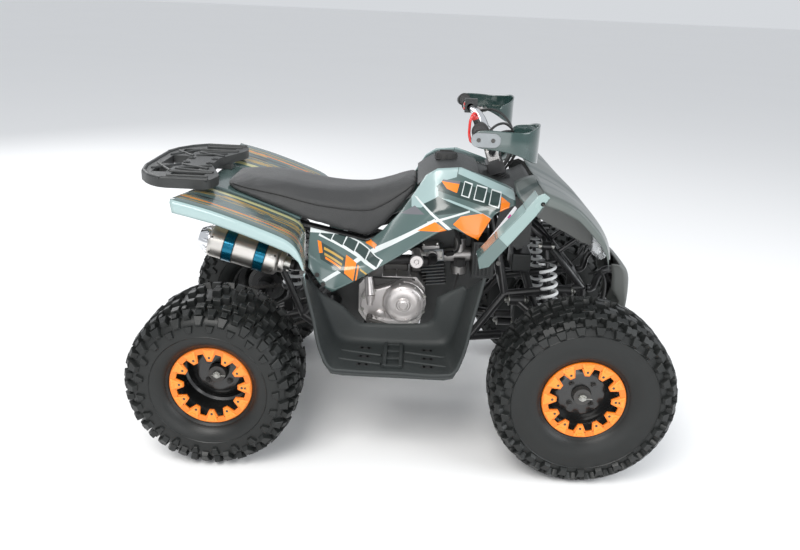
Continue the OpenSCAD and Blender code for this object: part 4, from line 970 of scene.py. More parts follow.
def rearRack():
    back = -733
    bm = bmesh.new()
    bm.from_mesh(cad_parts["rear_rack"].data)
    bmesh.ops.remove_doubles(bm, verts=bm.verts, dist=1e-5)
    bmesh.ops.dissolve_limit(bm, angle_limit=math.radians(2), verts=bm.verts, edges=bm.edges)
    upright = [e for e in bm.edges if abs(e.verts[0].co.z - e.verts[1].co.z) > 0.02 and e.is_manifold and e.is_convex
               and e.calc_face_angle(0) > math.radians(20) and (max(abs(v.co.y) for v in e.verts) > 0.12
                                                                or e.verts[0].co.x < at(back + 12, 0, 0).x)]
    bmesh.ops.bevel(bm, geom=upright, offset=0.020, segments=5, affect="EDGES", profile=0.5, material=-1)
    piece(bm, "rearRack", "chassis", rackPlastic, bevel=0.005, segments=3, angle=50, hides=("rear_rack",))
    bm = bmesh.new()
    outline = [(back + 6, -98), (back + 19, -158), (back + 49, -207), (back + 90, -239), (back + 214, -239)]
    for points in (outline, [(x, -y) for x, y in outline]):
        for a, b in zip(points, points[1:]):
            rod(bm, at(*a, 727), at(*b, 727), 0.0055, 0.0055, 12)
    rod(bm, at(back + 6, -98, 727), at(back + 6, 98, 727), 0.0055, 0.0055, 12)
    for s in (-1, 1):
        for a, b in (((26, 60), (88, 150)), ((92, 60), (30, 128)), ((100, 66), (182, 110)), ((182, 70), (100, 112)),
                     ((90, 158), (206, 158)), ((96, 206), (206, 206)), ((94, 120), (206, 150))):
            rod(bm, at(back + a[0], s * a[1], 727.5), at(back + b[0], s * b[1], 727.5), 0.0042, 0.0042, 10)
    for u in (98, 164):
        for s in (-1, 1):
            ring = [(0.0050, 0.0), (0.0100, 0.0), (0.0100, 0.003), (0.0050, 0.003)]
            lathe(bm, ring, at(back + u, s * 30, 727), zAxis, steps=24, closed=True)
    piece(bm, "rackRibs", "chassis", rackPlastic, bevel=0.001)
    bm = bmesh.new()
    for s in (-1, 1):
        for x in (back + 128, back + 176):
            hexNut(bm, at(x, s * 84, 702), -zAxis, 0.0075, 0.006)
    piece(bm, "rackBolts", "chassis", darkAlloy)


rearRack()
print("seat, tank cover and rack made")


def bolts(bm, spots, axis, radius=0.0055):
    for p in spots:
        rod(bm, p, p + axis * 0.0012, radius * 1.3, radius * 1.3, 20)
        rod(bm, p + axis * 0.001, p + axis * 0.0055, radius, radius * 0.96, 6)


def engine():
    outline = [(-112, 292), (-128, 316), (-128, 400), (-110, 424), (-40, 432), (40, 432), (66, 400), (68, 330),
               (48, 275), (-95, 275)]
    bm = bmesh.new()
    plate(bm, -88, outline, 0.150)
    for x in (-100, -60, -20, 20):      # stiffening ribs on the dark upper case
        slab(bm, at(x - 2, -84, 428), at(x + 2, 58, 437))
    piece(bm, "crankcase", "chassis", castAlloy, bevel=0.007, segments=3, hides=("engine",))
    bm = bmesh.new()
    slab(bm, at(-96, -96, 396), at(36, -80, 428))
    slab(bm, at(22, -42, 430), at(56, 42, 499))
    slab(bm, at(-60, -36, 428), at(14, 36, 452))
    piece(bm, "upperCase", "chassis", darkAlloy, bevel=0.006, segments=3)
    left = at(28, 61, 352)
    bm = bmesh.new()
    lathe(bm, [(0.0, 0.0235), (0.040, 0.0235), (0.052, 0.020), (0.058, 0.010), (0.058, 0.0), (0.0, 0.0)], left,
          yAxis, steps=72)
    rod(bm, at(-78, 61, 338), at(-78, 78, 338), 0.022, 0.020, 40)
    for k in range(6):
        turn = math.radians(60 * k + 20)
        out = spoke(turn)
        rod(bm, left + out * 0.052, left + out * 0.052 + yAxis * 0.020, 0.008, 0.007, 20)
    piece(bm, "magnetoCover", "chassis", coverAlloy, bevel=0.0015)
    bm = bmesh.new()        # right cover: two rounds and the straight walls that join them
    corners = []
    for x, z, r, first, last in ((-72, 352, 50, 90, 262), (5, 364, 66, 262, 450)):
        for k in range(11):
            a = math.radians(first + (last - first) * k / 10)
            corners.append(at(x + r * math.cos(a), -87, z + r * math.sin(a)))
    prism(bm, corners, Vector((0, -0.033, 0)))
    piece(bm, "rightCover", "chassis", coverAlloy, bevel=0.006, segments=3, angle=40)
    bm = bmesh.new()
    hub = at(5, -118, 366)
    lathe(bm, [(0.0, 0.034), (0.011, 0.034), (0.0135, 0.032), (0.0185, 0.032), (0.0205, 0.027), (0.034, 0.0285),
               (0.050, 0.025),
               (0.057, 0.019), (0.0605, 0.009), (0.0605, -0.012)], hub, -yAxis, steps=72)
    for k in range(8):      # short ribs round the shoulder
        turn = math.radians(45 * k + 12)
        out = spoke(turn)
        across = Vector((-math.sin(turn), 0, math.cos(turn))) * 0.0028
        prism(bm, [hub + out * 0.045 - across - yAxis * 0.024, hub + out * 0.0615 - across - yAxis * 0.008,
                   hub + out * 0.0615 + across - yAxis * 0.008, hub + out * 0.045 + across - yAxis * 0.024],
                   -yAxis * 0.0050)
    piece(bm, "clutchCover", "chassis", coverAlloy, bevel=0.0012)
    bm = bmesh.new()
    for x, z, r, y in ((-62, 322, 0.0165, -120), (-88, 372, 0.010, -120)):
        lathe(bm, [(0.0, 0.008), (r * 0.7, 0.008), (r, 0.005), (r, 0.0), (0.0, 0.0)], at(x, y, z), -yAxis, steps=36)
    rod(bm, at(-98, -112, 436), at(-92, -122, 384), 0.011, 0.015, 24)
    rod(bm, at(-92, -122, 386), at(-92, -120, 352), 0.015, 0.0085, 24)
    lathe(bm, [(0.0, 0.004), (0.006, 0.004), (0.007, 0.006), (0.018, 0.006), (0.020, 0.003), (0.0205, -0.004),
               (0.019, -0.02), (0.0, -0.02)],
          at(37, -134, 496), -yAxis, steps=48)
    rod(bm, at(37, -132, 496), at(37, -60, 500), 0.012, 0.014, 28)
    piece(bm, "engineCaps", "chassis", coverAlloy, bevel=0.001)
    bm = bmesh.new()
    spots = []
    for x, z, r, first, last, count in ((-72, 352, 44, 100, 250, 4), (5, 364, 62, -70, 20, 3)):
        for k in range(count):
            a = math.radians(first + (last - first) * k / (count - 1))
            spots.append(at(x + r * 1.02 * math.cos(a), -119.5, z + r * 1.02 * math.sin(a)))
    bolts(bm, spots, -yAxis, 0.0042)
    bolts(bm, [at(28 + 46 * math.cos(math.radians(60 * k + 20)), 81, 352 + 46 * math.sin(math.radians(60 * k + 20)))
               for k in range(6)], yAxis, 0.0045)
    piece(bm, "engineBolts", "chassis", zinc)
    bm = bmesh.new()
    rod(bm, at(-92, -121, 316), at(-92, -150, 316), 0.009, 0.009, 24)      # gear shaft and lever
    rod(bm, at(-92, -146, 316), at(-30, -150, 300), 0.0055, 0.0055, 16)
    rod(bm, at(-30, -150, 300), at(-30, -176, 300), 0.0075, 0.0075, 16)
    piece(bm, "gearLever", "chassis", darkAlloy, bevel=0.001)


engine()


def cylinder():
    softCopy("cylinder", "cylinderFins", "chassis", plateAlloy, 0.0009)
    lean = Matrix.Rotation(math.radians(-7), 4, "Y")
    foot = at(88, 0, 392)
    def up(x, y, z):
        return foot + lean @ Vector((x / 1000, y / 1000, z / 1000))
    bm = bmesh.new()
    for z in range(7):      # outer fins stand a little proud of the barrel
        prism(bm, [up(-30, -57, 6 + 10 * z), up(38, -57, 6 + 10 * z), up(41, -50, 6 + 10 * z), up(41, 50, 6 + 10 * z),
                   up(38, 57, 6 + 10 * z), up(-30, 57, 6 + 10 * z)], lean @ Vector((0, 0, 0.0028)))
    piece(bm, "finEdges", "chassis", darkAlloy, bevel=0.0008)
    bm = bmesh.new()
    prism(bm, [up(-28, -54, 82), up(36, -54, 82), up(40, -48, 82), up(40, 48, 82), up(36, 54, 82), up(-28, 54, 82)],
          lean @ Vector((0, 0, 0.028)))
    prism(bm, [up(-22, -42, 110), up(30, -42, 110), up(30, 42, 110), up(-22, 42, 110)], lean @ Vector((0, 0, 0.014)))
    lathe(bm, [(0.0, 0.006), (0.015, 0.006), (0.017, 0.003), (0.0175, 0.0), (0.0, 0.0)], up(6, -54, 97), -yAxis,
          steps=36)
    piece(bm, "headCover", "chassis", castAlloy, bevel=0.004, segments=3)
    bm = bmesh.new()
    bolts(bm, [up(x, y, 124) for x in (-16, 24) for y in (-34, 34)], lean @ zAxis, 0.0045)
    bolts(bm, [up(x, -55, z) for x, z in ((-20, 88), (-20, 106), (32, 88), (32, 106))], -yAxis, 0.0038)
    piece(bm, "headBolts", "chassis", zinc)
    bm = bmesh.new()
    rod(bm, up(34, -30, 92), up(58, -52, 100), 0.0045, 0.0045, 16)
    rod(bm, up(50, -45, 97), up(66, -60, 103), 0.0085, 0.0075, 20)
    piece(bm, "sparkPlug", "chassis", softRubber, bevel=0.0008)
    hose("sparkLead", [up(64, -58, 102), up(82, -72, 116), up(84, -66, 150), up(66, -40, 182), up(40, -16, 190)],
         0.0035, "chassis", softRubber)


cylinder()


def intake():
    softCopy("carburettor", "carburettorBody", "chassis", castAlloy, 0.0015)
    bm = bmesh.new()
    for k in range(5):      # ribbed rubber boot to the air box
        spot = at(196 + k * 5, -6, 486)
        lathe(bm, [(0.024, 0.0), (0.0285, 0.0012), (0.0285, 0.0030), (0.024, 0.0042)], spot, xAxis, steps=36,
              closed=True)
    slab(bm, at(148, -34, 452), at(182, 22, 476))
    rod(bm, at(165, -40, 464), at(165, -26, 464), 0.013, 0.013, 28)
    piece(bm, "intakeBoot", "chassis", softRubber, bevel=0.0012)
    bm = bmesh.new()
    slab(bm, at(198, -88, 438), at(262, 70, 548))
    for k in range(5):
        slab(bm, at(204 + k * 11, -91, 446), at(208 + k * 11, -86, 540))
    piece(bm, "airBox", "chassis", tankPlastic, bevel=0.008, segments=3)
    hose("overflowTube", [(165, -22, 432), (160, -40, 410), (150, -62, 372), (140, -78, 322), (134, -82, 284)],
         0.003, "chassis", softRubber)
    hose("fuelTube", [(165, -22, 520), (158, -46, 552), (132, -52, 600), (120, -30, 660), (112, -10, 742)], 0.004,
         "chassis", softRubber)
    hose("throttleRun", [(165, -6, 534), (170, -14, 580), (196, -26, 640), (222, -34, 700), (234, -30, 738)], 0.003,
         "chassis", softRubber)


intake()


mufflerRun = {"front": (-318, -240, 512), "back": (-545, -240, 574)}


def muffler():
    a, b = at(*mufflerRun["front"]), at(*mufflerRun["back"])
    axis = (b - a).normalized()
    length = (b - a).length
    bm = bmesh.new()
    lathe(bm, [(0.0150, 0.0), (0.028, 0.0), (0.030, 0.004), (0.031, 0.014), (0.0405, 0.020), (0.0425, 0.024),
               (0.0430, 0.030),
               (0.0430, length - 0.042), (0.0425, length - 0.036), (0.0410, length - 0.032), (0.039, length - 0.030),
               (0.0, length - 0.030)],
          a, axis, steps=72)
    piece(bm, "mufflerCan", "chassis", brushedSteel, angle=28, hides=("muffler",))
    bm = bmesh.new()
    for start in (0.052, length - 0.098):
        lathe(bm, [(0.0431, start), (0.0445, start + 0.0008), (0.0445, start + 0.0262), (0.0431, start + 0.027)], a,
              axis, steps=72, closed=True)
    piece(bm, "mufflerBands", "chassis", tealBand)
    bm = bmesh.new()
    for start in (0.0505, 0.0785, length - 0.0995, length - 0.0715):
        lathe(bm, [(0.0431, start), (0.0452, start), (0.0452, start + 0.0016), (0.0431, start + 0.0016)], a, axis,
              steps=72, closed=True)
    piece(bm, "bandEdges", "chassis", darkAlloy)
    bm = bmesh.new()
    lathe(bm, [(0.016, length - 0.004), (0.020, length), (0.026, length - 0.002), (0.034, length - 0.016),
               (0.0375, length - 0.031),
               (0.030, length - 0.031), (0.016, length - 0.012)], a, axis, steps=72, closed=True)
    side = axis.orthogonal().normalized()
    for k in range(12):     # flutes on the end cone
        turn = Matrix.Rotation(2 * math.pi * k / 12, 3, axis)
        out = turn @ side
        rod(bm, a + axis * (length - 0.028) + out * 0.0375, a + axis * (length - 0.004) + out * 0.0245, 0.0035,
            0.0022, 12)
    piece(bm, "mufflerTip", "chassis", chrome, bevel=0.0006)
    bm = bmesh.new()
    for k in range(6):
        turn = Matrix.Rotation(2 * math.pi * k / 6 + 0.3, 3, axis)
        for spot in (0.027, length - 0.038):
            out = turn @ side
            rod(bm, a + axis * spot + out * 0.0415, a + axis * spot + out * 0.0450, 0.0032, 0.0028, 12)
    rod(bm, at(-430, -200, 556), at(-430, -98, 601), 0.006)
    slab(bm, at(-444, -204, 548), at(-416, -196, 570))
    piece(bm, "mufflerBolts", "chassis", darkAlloy)
    bm = bmesh.new()
    lathe(bm, [(0.0142, -0.016), (0.0185, -0.016), (0.0185, 0.002), (0.0142, 0.002)], a, axis, steps=40, closed=True)
    rod(bm, a - axis * 0.007 - zAxis * 0.018 - yAxis * 0.008, a - axis * 0.007 - zAxis * 0.018 + yAxis * 0.010,
        0.0032, 0.0032, 12)
    piece(bm, "pipeClamp", "chassis", zinc)


muffler()
print("engine and exhaust made")


def shock(low, high, springStart, springEnd, lowRadius, highRadius, wire, turns, bodyRadius):
    axis = (high - low).normalized()
    reach = (high - low).length
    spring, metal = bmesh.new(), bmesh.new()
    coil(spring, low + axis * springStart, axis, lowRadius, highRadius, wire, turns, reach - springStart - springEnd)
    rod(metal, low + axis * 0.010, low + axis * (reach * 0.55), bodyRadius, bodyRadius, 36)
    rod(metal, low + axis * (reach * 0.5), high - axis * 0.010, bodyRadius * 0.5, bodyRadius * 0.5, 24)
    for spot, r in ((springStart - 0.006, lowRadius), (reach - springEnd + 0.001, highRadius)):
        lathe(metal, [(0.006, 0.0), (r + 0.004, 0.0), (r + 0.005, 0.0015), (r + 0.005, 0.0045), (0.006, 0.0055)],
              low + axis * spot, axis, steps=40, closed=True)
    return spring, metal


def springs():
    white, metal, pins = bmesh.new(), bmesh.new(), bmesh.new()
    low, high = at(447, -187, 224), at(397, -133, 560)
    spring, parts = shock(low, high, 0.044, 0.046, 0.0205, 0.0205, 0.0048, 10.5, 0.0115)
    for target, source in ((white, spring), (metal, parts)):
        mesh = bpy.data.meshes.new("joined")
        source.to_mesh(mesh)
        source.free()
        target.from_mesh(mesh)
        bpy.data.meshes.remove(mesh)
    for p in (low, high):
        rod(pins, p - xAxis * 0.0155, p + xAxis * 0.0155, 0.0065, 0.0065, 24)
        rod(metal, p - xAxis * 0.0125, p + xAxis * 0.0125, 0.0125, 0.0125, 32)
        hexNut(pins, p + xAxis * 0.0150, xAxis, 0.0085, 0.006)
        hexNut(pins, p - xAxis * 0.0150, -xAxis, 0.0085, 0.006)
    for bm in (white, metal, pins):
        mirrored(bm)
    piece(white, "frontSprings", "chassis", springWhite, hides=("front_shocks",))
    piece(metal, "frontDampers", "chassis", frameBlack, bevel=0.0008)
    piece(pins, "shockBolts", "chassis", zinc)
    low, high = at(-345, 0, 306), at(-300, 0, 549.9)
    spring, parts = shock(low, high, 0.048, 0.040, 0.0285, 0.0215, 0.0052, 6.5, 0.013)
    rod(parts, low - yAxis * 0.0145, low + yAxis * 0.0145, 0.0155)
    rod(parts, high - yAxis * 0.0145, high + yAxis * 0.0145, 0.0145)
    piece(spring, "rearSpring", "chassis", springWhite, hides=("rear_shock",))
    piece(parts, "rearDamper", "chassis", frameBlack, bevel=0.0008)


springs()
print("springs made")


rake = math.radians(20)
stemUp = Vector((-math.sin(rake), 0, math.cos(rake)))
stemFore = Vector((math.cos(rake), 0, math.sin(rake)))
clampMiddle = at(247, 0, 758) + stemUp * 0.033


def barPoints(side):
    return [clampMiddle + yAxis * side * 0.046, at(216, side * 116, 868), at(182, side * 205, 888),
            at(170, side * 373, 892)]


def handlebar():
    knots = barPoints(-1)[::-1] + barPoints(1)
    smooth = [knots[0]]     # each bend is rounded between two points on its legs
    for a, b in zip(knots, knots[1:]):
        smooth += [a.lerp(b, 0.3), a.lerp(b, 0.7)]
    smooth.append(knots[-1])
    hose("handlebarTube", smooth, 0.011, "steering", chrome, hides=("handlebar",))
    bm, ends = bmesh.new(), bmesh.new()
    for side in (1, -1):
        p = barPoints(side)
        along = (p[2] - p[3]).normalized()
        profile = [(0.0113, -0.001), (0.0200, -0.001), (0.0205, 0.001), (0.0200, 0.004), (0.0160, 0.005)]
        for k in range(17):
            base = 0.008 + k * 0.0058
            profile += [(0.0160, base), (0.0172, base + 0.0012), (0.0172, base + 0.0034), (0.0160, base + 0.0046)]
        profile += [(0.0160, 0.108), (0.0215, 0.110), (0.0220, 0.113), (0.0210, 0.116), (0.0113, 0.117)]
        lathe(bm, profile, p[3], along, steps=40, closed=True)
        lathe(ends, [(0.0, -0.008), (0.009, -0.008), (0.0125, -0.005), (0.0125, 0.0), (0.0, 0.0)],
              p[3] - along * 0.002, along, steps=32)
    piece(bm, "grips", "steering", softRubber, angle=40, hides=("grips",))
    piece(ends, "barEnds", "steering", zinc)
    bm = bmesh.new()
    turn = Matrix.Rotation(-rake, 4, "Y")
    block = clampMiddle - stemUp * 0.013
    slab(bm, block - Vector((0.017, 0.036, 0.014)), block + Vector((0.017, 0.036, 0.014)), turn)
    for side in (1, -1):
        spot = clampMiddle + yAxis * side * 0.028
        slab(bm, spot - Vector((0.017, 0.011, 0.0165)), spot + Vector((0.017, 0.011, 0.0165)), turn)
    piece(bm, "barClamp", "steering", castAlloy, bevel=0.003, segments=3)
    bm = bmesh.new()
    for side in (1, -1):
        for x in (-0.011, 0.011):
            spot = clampMiddle + yAxis * side * 0.028 + stemFore * x + stemUp * 0.016
            bolts(bm, [spot], stemUp, 0.0045)
    piece(bm, "clampBolts", "steering", zinc)
    softCopy("steering_stem", "steeringStem", "steering", frameBlack, 0.0015)
    bm = bmesh.new()        # rubber gaiter where the stem leaves the cowl
    foot = at(247, 0, 758) - stemUp * 0.052
    profile = [(0.0130, 0.0)]
    for k in range(6):
        r = 0.036 - k * 0.0032
        profile += [(r, 0.001 + k * 0.0052), (r, 0.0034 + k * 0.0052), (r - 0.006, 0.0052 + k * 0.0052)]
    profile += [(0.0130, 0.034)]
    lathe(bm, profile, foot, stemUp, steps=40, closed=True)
    piece(bm, "stemGaiter", "steering", softRubber)


handlebar()


def controls():
    metal, perches, screws = bmesh.new(), bmesh.new(), bmesh.new()
    for side, tag in ((1, "left"), (-1, "right")):
        p = barPoints(side)
        along = (p[2] - p[3]).normalized()
        c = p[3] + along * 0.131
        lathe(perches, [(0.0112, -0.008), (0.0185, -0.008), (0.019, -0.006), (0.019, 0.006), (0.0185, 0.008),
                        (0.0112, 0.008)], c, along, steps=36, closed=True)
        slab(perches, c + Vector((0.010, -0.010, -0.020)), c + Vector((0.042, 0.010, -0.002)))
        rod(screws, c + Vector((0.034, 0, 0.0)), c + Vector((0.034, 0, -0.024)), 0.0045, 0.0045, 20)
        lever = [c + Vector((0.030, -side * 0.008, -0.011)), c + Vector((0.046, side * 0.006, -0.013)),
                 c + Vector((0.056, side * 0.030, -0.0145)),
                 c + Vector((0.059, side * 0.070, -0.016)), c + Vector((0.057, side * 0.104, -0.0165)),
                 c + Vector((0.060, side * 0.120, -0.017))]
        hose("lever_" + tag, lever, 0.0052, "steering", zinc, taper=[1.25, 1.15, 0.95, 0.9, 0.9, 1.2],
             hides=("levers",) if side == 1 else ())
    piece(perches, "leverPerches", "steering", castAlloy, bevel=0.0015)
    piece(screws, "leverPivots", "steering", darkAlloy, bevel=0.0006)
    softCopy("switch_box", "switchBox", "steering", tankPlastic, 0.003)
    p = barPoints(1)
    along = (p[2] - p[3]).normalized()
    c = p[3] + along * 0.153
    bm = bmesh.new()
    slab(bm, c + Vector((-0.021, -0.006, 0.004)), c + Vector((-0.0168, 0.004, 0.012)))
    rod(bm, c + Vector((-0.0168, -0.001, -0.006)), c + Vector((-0.0215, -0.001, -0.006)), 0.0042, 0.0038, 20)
    piece(bm, "switches", "steering", redPlastic, bevel=0.0008)
    p = barPoints(-1)       # stop switch with its red pull cord, beside the right grip
    along = (p[2] - p[3]).normalized()
    c = p[3] + along * 0.158
    bm = bmesh.new()
    lathe(bm, [(0.0112, -0.012), (0.0170, -0.012), (0.0180, -0.010), (0.0180, 0.010), (0.0170, 0.012),
               (0.0112, 0.012)], c, along, steps=36, closed=True)
    rod(bm, c + Vector((-0.008, 0, 0.012)), c + Vector((-0.014, 0, 0.026)), 0.0085, 0.0085, 24)
    piece(bm, "stopSwitch", "steering", tankPlastic, bevel=0.0012)
    bm = bmesh.new()
    rod(bm, c + Vector((-0.0135, 0, 0.024)), c + Vector((-0.0175, 0, 0.034)), 0.0095, 0.0080, 24)
    piece(bm, "stopCap", "steering", redPlastic, bevel=0.0012)


controls()


def handguards():
    e, half = 170, 373
    path = [(e - 14, half + 9, 868, 912), (e + 45, half + 12, 866, 912), (e + 92, half + 10, 856, 908),
            (e + 124, half - 6, 838, 910),
            (e + 150, half - 50, 824, 922), (e + 152, half - 110, 830, 918), (e + 136, half - 160, 846, 906),
            (e + 100, half - 196, 862, 898)]
    rows = [[(x, -y, hi + (lo - hi) * (1 - k / 3)) for k in (3, 2, 1, 0)] for x, y, lo, hi in path]
    bm = sheetOf(rows)
    for v in bm.verts:      # the blade bellies out along its middle
        mid = 889 / 1000
        v.co.y -= 0.003 * (1 - min(abs(v.co.z - mid) / 0.03, 1))
    outwards(bm, Vector((0.5, -1, 0)))
    mirrored(bm)
    piece(bm, "handguards", "steering", guardGreen, levels=3, wall=0.003, hides=("handguards",))
    plates, screws = bmesh.new(), bmesh.new()
    stadium = []
    for x, first in ((e - 6, 90), (e + 30, 270)):
        for k in range(13):
            a = math.radians(first + 15 * k)
            stadium.append(at(x + 17 * math.cos(a), -(half + 12), 889 + 17 * math.sin(a)))
    prism(plates, stadium, -yAxis * 0.0035)
    for x in (e - 5, e + 29):
        rod(screws, at(x, -(half + 15), 889), at(x, -(half + 18), 889), 0.0052, 0.0042, 28)
        rod(screws, at(x, -(half + 17.6), 889), at(x, -(half + 18.4), 889), 0.0020, 0.0020, 6)
    rod(plates, at(e, -(half + 1), 892), at(e, -(half + 9), 892), 0.0115)
    for bm in (plates, screws):
        mirrored(bm)
    piece(plates, "guardBrackets", "steering", plateAlloy, bevel=0.0012)
    piece(screws, "guardScrews", "steering", darkAlloy, bevel=0.0004)


handguards()
print("handlebar made")


def lamps():
    outline = [(-42, 103), (-19, 74), (-1, 41), (5, 11), (-9, -2), (-37, 16)]
    place = (534, 562.2)
    lens, bowl, bulbs = bmesh.new(), bmesh.new(), bmesh.new()
    prism(lens, [at(place[0] + x, -244, place[1] + z) for x, z in outline], Vector((0, 0.073, 0)))
    inner = [(place[0] - 22 + (x + 20) * 0.72, place[1] + 45 + (z - 45) * 0.72) for x, z in outline]
    prism(bowl, [at(x - 4, -236, z) for x, z in inner], Vector((0, 0.057, 0)))
    rod(bulbs, at(526, -208, 600), at(540, -208, 602), 0.009, 0.006, 24)
    for bm in (lens, bowl, bulbs):
        mirrored(bm)
    glass = finish("lamp_clear", (0.90, 0.93, 0.95), 0.06, grain=0.0, coat=0.3, roughSpread=0.02)
    glass.node_tree.nodes["Principled BSDF"].inputs["Transmission Weight"].default_value = 0.85
    piece(lens, "headlampLenses", "chassis", glass, bevel=0.005, segments=3, hides=("headlamps",))
    piece(bowl, "headlampBowls", "chassis", discSteel, bevel=0.003)
    piece(bulbs, "headlampBulbs", "chassis", springWhite)
    bm = bmesh.new()
    slab(bm, at(-568, -48, 648), at(-550, 48, 676))
    for k in range(9):
        slab(bm, at(-569.2, -42 + k * 10, 651), at(-567.5, -38 + k * 10, 673))
    piece(bm, "tailLamp", "chassis", redPlastic, bevel=0.003, segments=3, hides=("tail_lamp",))
    bm = bmesh.new()
    slab(bm, at(-551, -20, 660), at(-540, 20, 685))
    piece(bm, "tailLampStay", "chassis", frameBlack, bevel=0.001)


lamps()


def bumper():
    run = [at(536, -84, 424), at(548, -84, 424), at(566, -90, 470), at(584, -92, 486), at(616, -89, 480),
           at(632, -88, 462), at(638, -87, 430),
           at(642, -86, 386), at(638, -85, 350), at(628, -83, 328), at(586, -80, 290), at(560, -79, 272),
           at(541, -79, 272)]
    hose("bumperTube_right", run, 0.0108, "chassis", frameBlack, hides=("front_bumper",))
    hose("bumperTube_left", [Vector((p.x, -p.y, p.z)) for p in run], 0.0108, "chassis", frameBlack)
    bm = bmesh.new()
    rod(bm, at(642, -88, 400), at(642, 88, 400), 0.009)
    piece(bm, "bumperBar", "chassis", frameBlack)
    wings = ((-52, -104), (-10, -112), (0, -100), (2, -60), (3, 0), (2, 60), (0, 100), (-10, 112), (-52, 104))
    rows = [[(x + dx * k, y, z) for dx, y in wings] for x, z, k in
            ((618, 506, 0.5), (640, 496, 0.9), (651, 470, 1), (654, 430, 1), (653, 398, 0.5), (650, 360, 0.45),
             (642, 336, 0.4))]
    panel("bumperShield", shieldGrey, rows, xAxis, folds=((along(112), 0.7),), hardFrom=0, hard=0.9, paired=False,
          wall=0.004)


shieldGrey = finish("shield_grey", (0.085, 0.092, 0.088), 0.4, drift=(0.13, 0.135, 0.13), driftScale=6, grain=0.2,
                    grainScale=500, grainKind="cells")
bumper()
print("lamps and nose made")


def chain():
    rear, front = at(-482, 70, 228.5), at(-78, 70, 338)
    big, small = 0.0828, 0.0345
    gap = front - rear
    reach = gap.length
    tilt = math.atan2(gap.z, gap.x)
    open_ = math.acos((big - small) / reach)
    path = []
    def arc(centre, radius, start, end, count):
        for k in range(count):
            a = start + (end - start) * k / count
            path.append(centre + spoke(a) * radius)
    arc(rear, big, tilt + open_, tilt + 2 * math.pi - open_, 40)
    arc(front, small, tilt - open_, tilt + open_, 12)
    loop = path + [path[0]]
    lengths = [(b - a).length for a, b in zip(loop, loop[1:])]
    total = sum(lengths)
    count = int(total / 0.0127 / 2) * 2
    bm = bmesh.new()
    spots = []
    for k in range(count):
        need, i = total * k / count, 0
        while need > lengths[i]:
            need -= lengths[i]
            i += 1
        spots.append(loop[i].lerp(loop[i + 1], need / lengths[i]))
    for k, (p, q) in enumerate(zip(spots, spots[1:] + spots[:1])):
        wide = 0.0048 if k % 2 else 0.0034
        along = (q - p).normalized()
        across = along.cross(yAxis) * 0.0040
        for s in (-1, 1):
            offset = yAxis * (s * wide)
            corners = [p - along * 0.003 - across * 0.6, p + across * -1, q - across,
                       q + along * 0.003 - across * 0.6,
                       q + along * 0.003 + across * 0.6, q + across, p + across, p - along * 0.003 + across * 0.6]
            prism(bm, [c + offset for c in corners], yAxis * (s * 0.0011))
        rod(bm, p - yAxis * 0.0052, p + yAxis * 0.0052, 0.0030, 0.0030, 10)
    piece(bm, "chainLinks", "chassis", darkAlloy, hides=("chain",))
    bm = bmesh.new()
    for centre, radius, teeth in ((rear, 0.0765, 38), (front, 0.0290, 15)):
        for k in range(teeth):
            a = 2 * math.pi * k / teeth
            out = spoke(a)
            side = Vector((-math.sin(a), 0, math.cos(a)))
            prism(bm, [centre + out * radius - side * 0.004 - yAxis * 0.0022,
                       centre + out * (radius + 0.0065) - side * 0.0014 - yAxis * 0.0022,
                       centre + out * (radius + 0.0065) + side * 0.0014 - yAxis * 0.0022,
                       centre + out * radius + side * 0.004 - yAxis * 0.0022],
                  yAxis * 0.0044)
        if centre is rear:
            piece(bm, "sprocketTeeth", "rear_axle", discSteel)
            bm = bmesh.new()
    rod(bm, front - yAxis * 0.003, front + yAxis * 0.003, 0.0292, 0.0292, 48)
    piece(bm, "driveSprocket", "chassis", discSteel)


chain()


